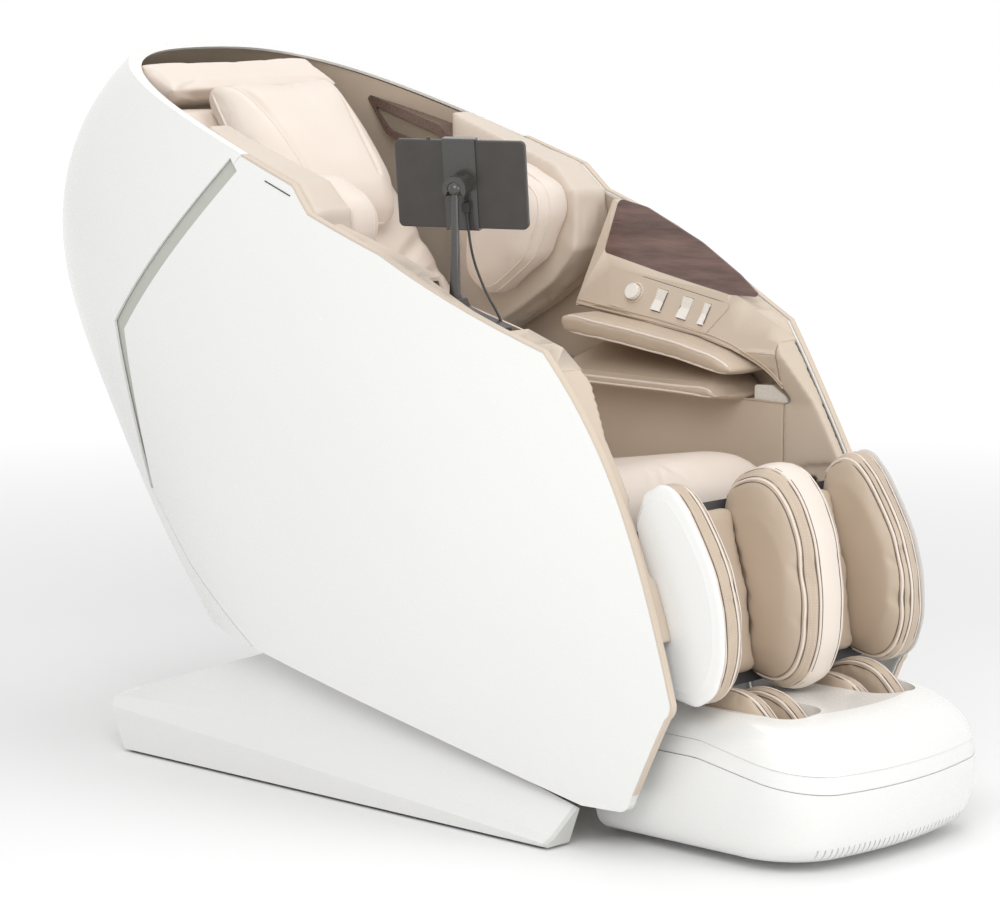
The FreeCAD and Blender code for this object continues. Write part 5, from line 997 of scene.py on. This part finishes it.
right_lobe = lift_off("right_lobe", "calf_pad_right")
swell(right_lobe, voxel=0.006, cap=0.006)
refine(right_lobe)
left_lobe = mirrored("left_lobe", right_lobe)
for piece, node, side in ((right_lobe, "calf_pad_right", -1), (left_lobe, "calf_pad_left", 1)):
    trims = lobe_trim(piece, [side * x for x in LOBE_PIPINGS], [side * x for x in LOBE_STITCHES],
                      in_front_of_plate)
    finish_pad(piece, beige_leather, "calf_rest", "beige_leather", node, fill=0.8, trims=trims)
middle_lobe = lift_off("middle_lobe", "calf_divider")
swell(middle_lobe, voxel=0.006, cap=0.006)
refine(middle_lobe)
trims = lobe_trim(middle_lobe, MIDDLE_PIPINGS, MIDDLE_STITCHES, in_front_of_plate)
finish_pad(middle_lobe, banded_leather, "calf_rest", "pale_leather", "calf_divider", fill=0.8, trims=trims)
right_calf = lift_off("right_calf", "calf_back_pads", -1)
swell(right_calf, voxel=0.005, cap=0.004)
refine(right_calf)
left_calf = mirrored("left_calf", right_calf)
calf_cushions = joined("calf_cushions", right_calf, left_calf)
finish_pad(calf_cushions, beige_leather, "calf_rest", "beige_leather", "calf_back_pads", fill=0.7)


# Foot pads
# Two leather cheeks stand in each foot well, arched like ears and piped along the arch. The piping
# stops at the sole.

SOLE_TOP = 0.115
CHEEK_PIPINGS = (0.076, 0.096, 0.144, 0.164)
CHEEK_STITCHES = (0.086, 0.154)


def above_sole(place):
    return place.z > SOLE_TOP


right_cheeks = lift_off("right_cheeks", "foot_pads", -1)
swell(right_cheeks, voxel=0.005, cap=0.003, smooth=4)
refine(right_cheeks)
left_cheeks = mirrored("left_cheeks", right_cheeks)
cheeks = joined("foot_cheeks", right_cheeks, left_cheeks)
# lobe_trim also lays thin lines of painted shade beside each piping of the cheeks.
trims = lobe_trim(cheeks, [side * x for side in (-1, 1) for x in CHEEK_PIPINGS],
                  [side * x for side in (-1, 1) for x in CHEEK_STITCHES], above_sole)
finish_pad(cheeks, beige_leather, "foot_unit", "beige_leather", "foot_pads", fill=0.8, trims=trims)


# Floor and light
# A plain pale floor, soft studio light from the camera's side, from above and from the front, and
# a white surround that only the camera, mirror and glass rays see.

FLOOR_WHITE = 0.92
AMBIENT = 0.62
bpy.ops.object.select_all(action="DESELECT")
bpy.ops.mesh.primitive_plane_add(size=40.0, location=(0, 0, 0))
floor = bpy.context.object
floor.name = "studio_floor"
floor_paint = Finish("floor_paint", roughness=0.9, emission_strength=1.0)
away = floor_paint.node("ShaderNodeVectorMath", {"operation": "LENGTH"}, {0: floor_paint.place}, "Value")
far = floor_paint.stretch(away, 1.6, 4.5, 0.0, 1.0)
paint = colour(FLOOR_WHITE, FLOOR_WHITE, FLOOR_WHITE)
floor_paint.set({"base_color": floor_paint.between(paint, colour(0.0, 0.0, 0.0), far),
                 "emission_color": floor_paint.between(colour(0.0, 0.0, 0.0), colour(1.0, 1.0, 1.0), far)})
floor.data.materials.append(floor_paint.material)

world = bpy.data.worlds.new("studio")
bpy.context.scene.world = world
world.use_nodes = True
sky = world.node_tree
sky.nodes.clear()
surround = sky.nodes.new("ShaderNodeBackground")
surround.inputs["Color"].default_value = (1.0, 1.0, 1.0, 1.0)
surround.inputs["Strength"].default_value = 1.0
ambient = sky.nodes.new("ShaderNodeBackground")
ambient.inputs["Color"].default_value = (1.0, 1.0, 1.0, 1.0)
ambient.inputs["Strength"].default_value = AMBIENT
path = sky.nodes.new("ShaderNodeLightPath")
seen = sky.nodes.new("ShaderNodeMath")
seen.operation = "MAXIMUM"
sky.links.new(path.outputs["Is Camera Ray"], seen.inputs[0])
sky.links.new(path.outputs["Is Glossy Ray"], seen.inputs[1])
clear_too = sky.nodes.new("ShaderNodeMath")
clear_too.operation = "MAXIMUM"
sky.links.new(seen.outputs[0], clear_too.inputs[0])
sky.links.new(path.outputs["Is Transmission Ray"], clear_too.inputs[1])
choice = sky.nodes.new("ShaderNodeMixShader")
sky.links.new(clear_too.outputs[0], choice.inputs[0])
sky.links.new(ambient.outputs[0], choice.inputs[1])
sky.links.new(surround.outputs[0], choice.inputs[2])
world_output = sky.nodes.new("ShaderNodeOutputWorld")
sky.links.new(choice.outputs[0], world_output.inputs[0])


def softbox(name, place, aim, wide, tall, watts):
    bpy.ops.object.light_add(type="AREA", location=place)
    lamp = bpy.context.object
    lamp.name = name
    lamp.data.shape = "RECTANGLE"
    lamp.data.size = wide
    lamp.data.size_y = tall
    lamp.data.energy = watts
    way = Vector(aim) - Vector(place)
    lamp.rotation_euler = way.to_track_quat("-Z", "Y").to_euler()


softbox("key", (-3.2, -2.6, 3.2), (0, 0, 0.6), 2.6, 2.6, 86)
softbox("top", (0.3, 0.2, 4.0), (0, 0, 0.5), 3.0, 3.0, 38)
softbox("front", (0.8, -4.0, 1.6), (0, 0, 0.5), 2.0, 2.0, 30)
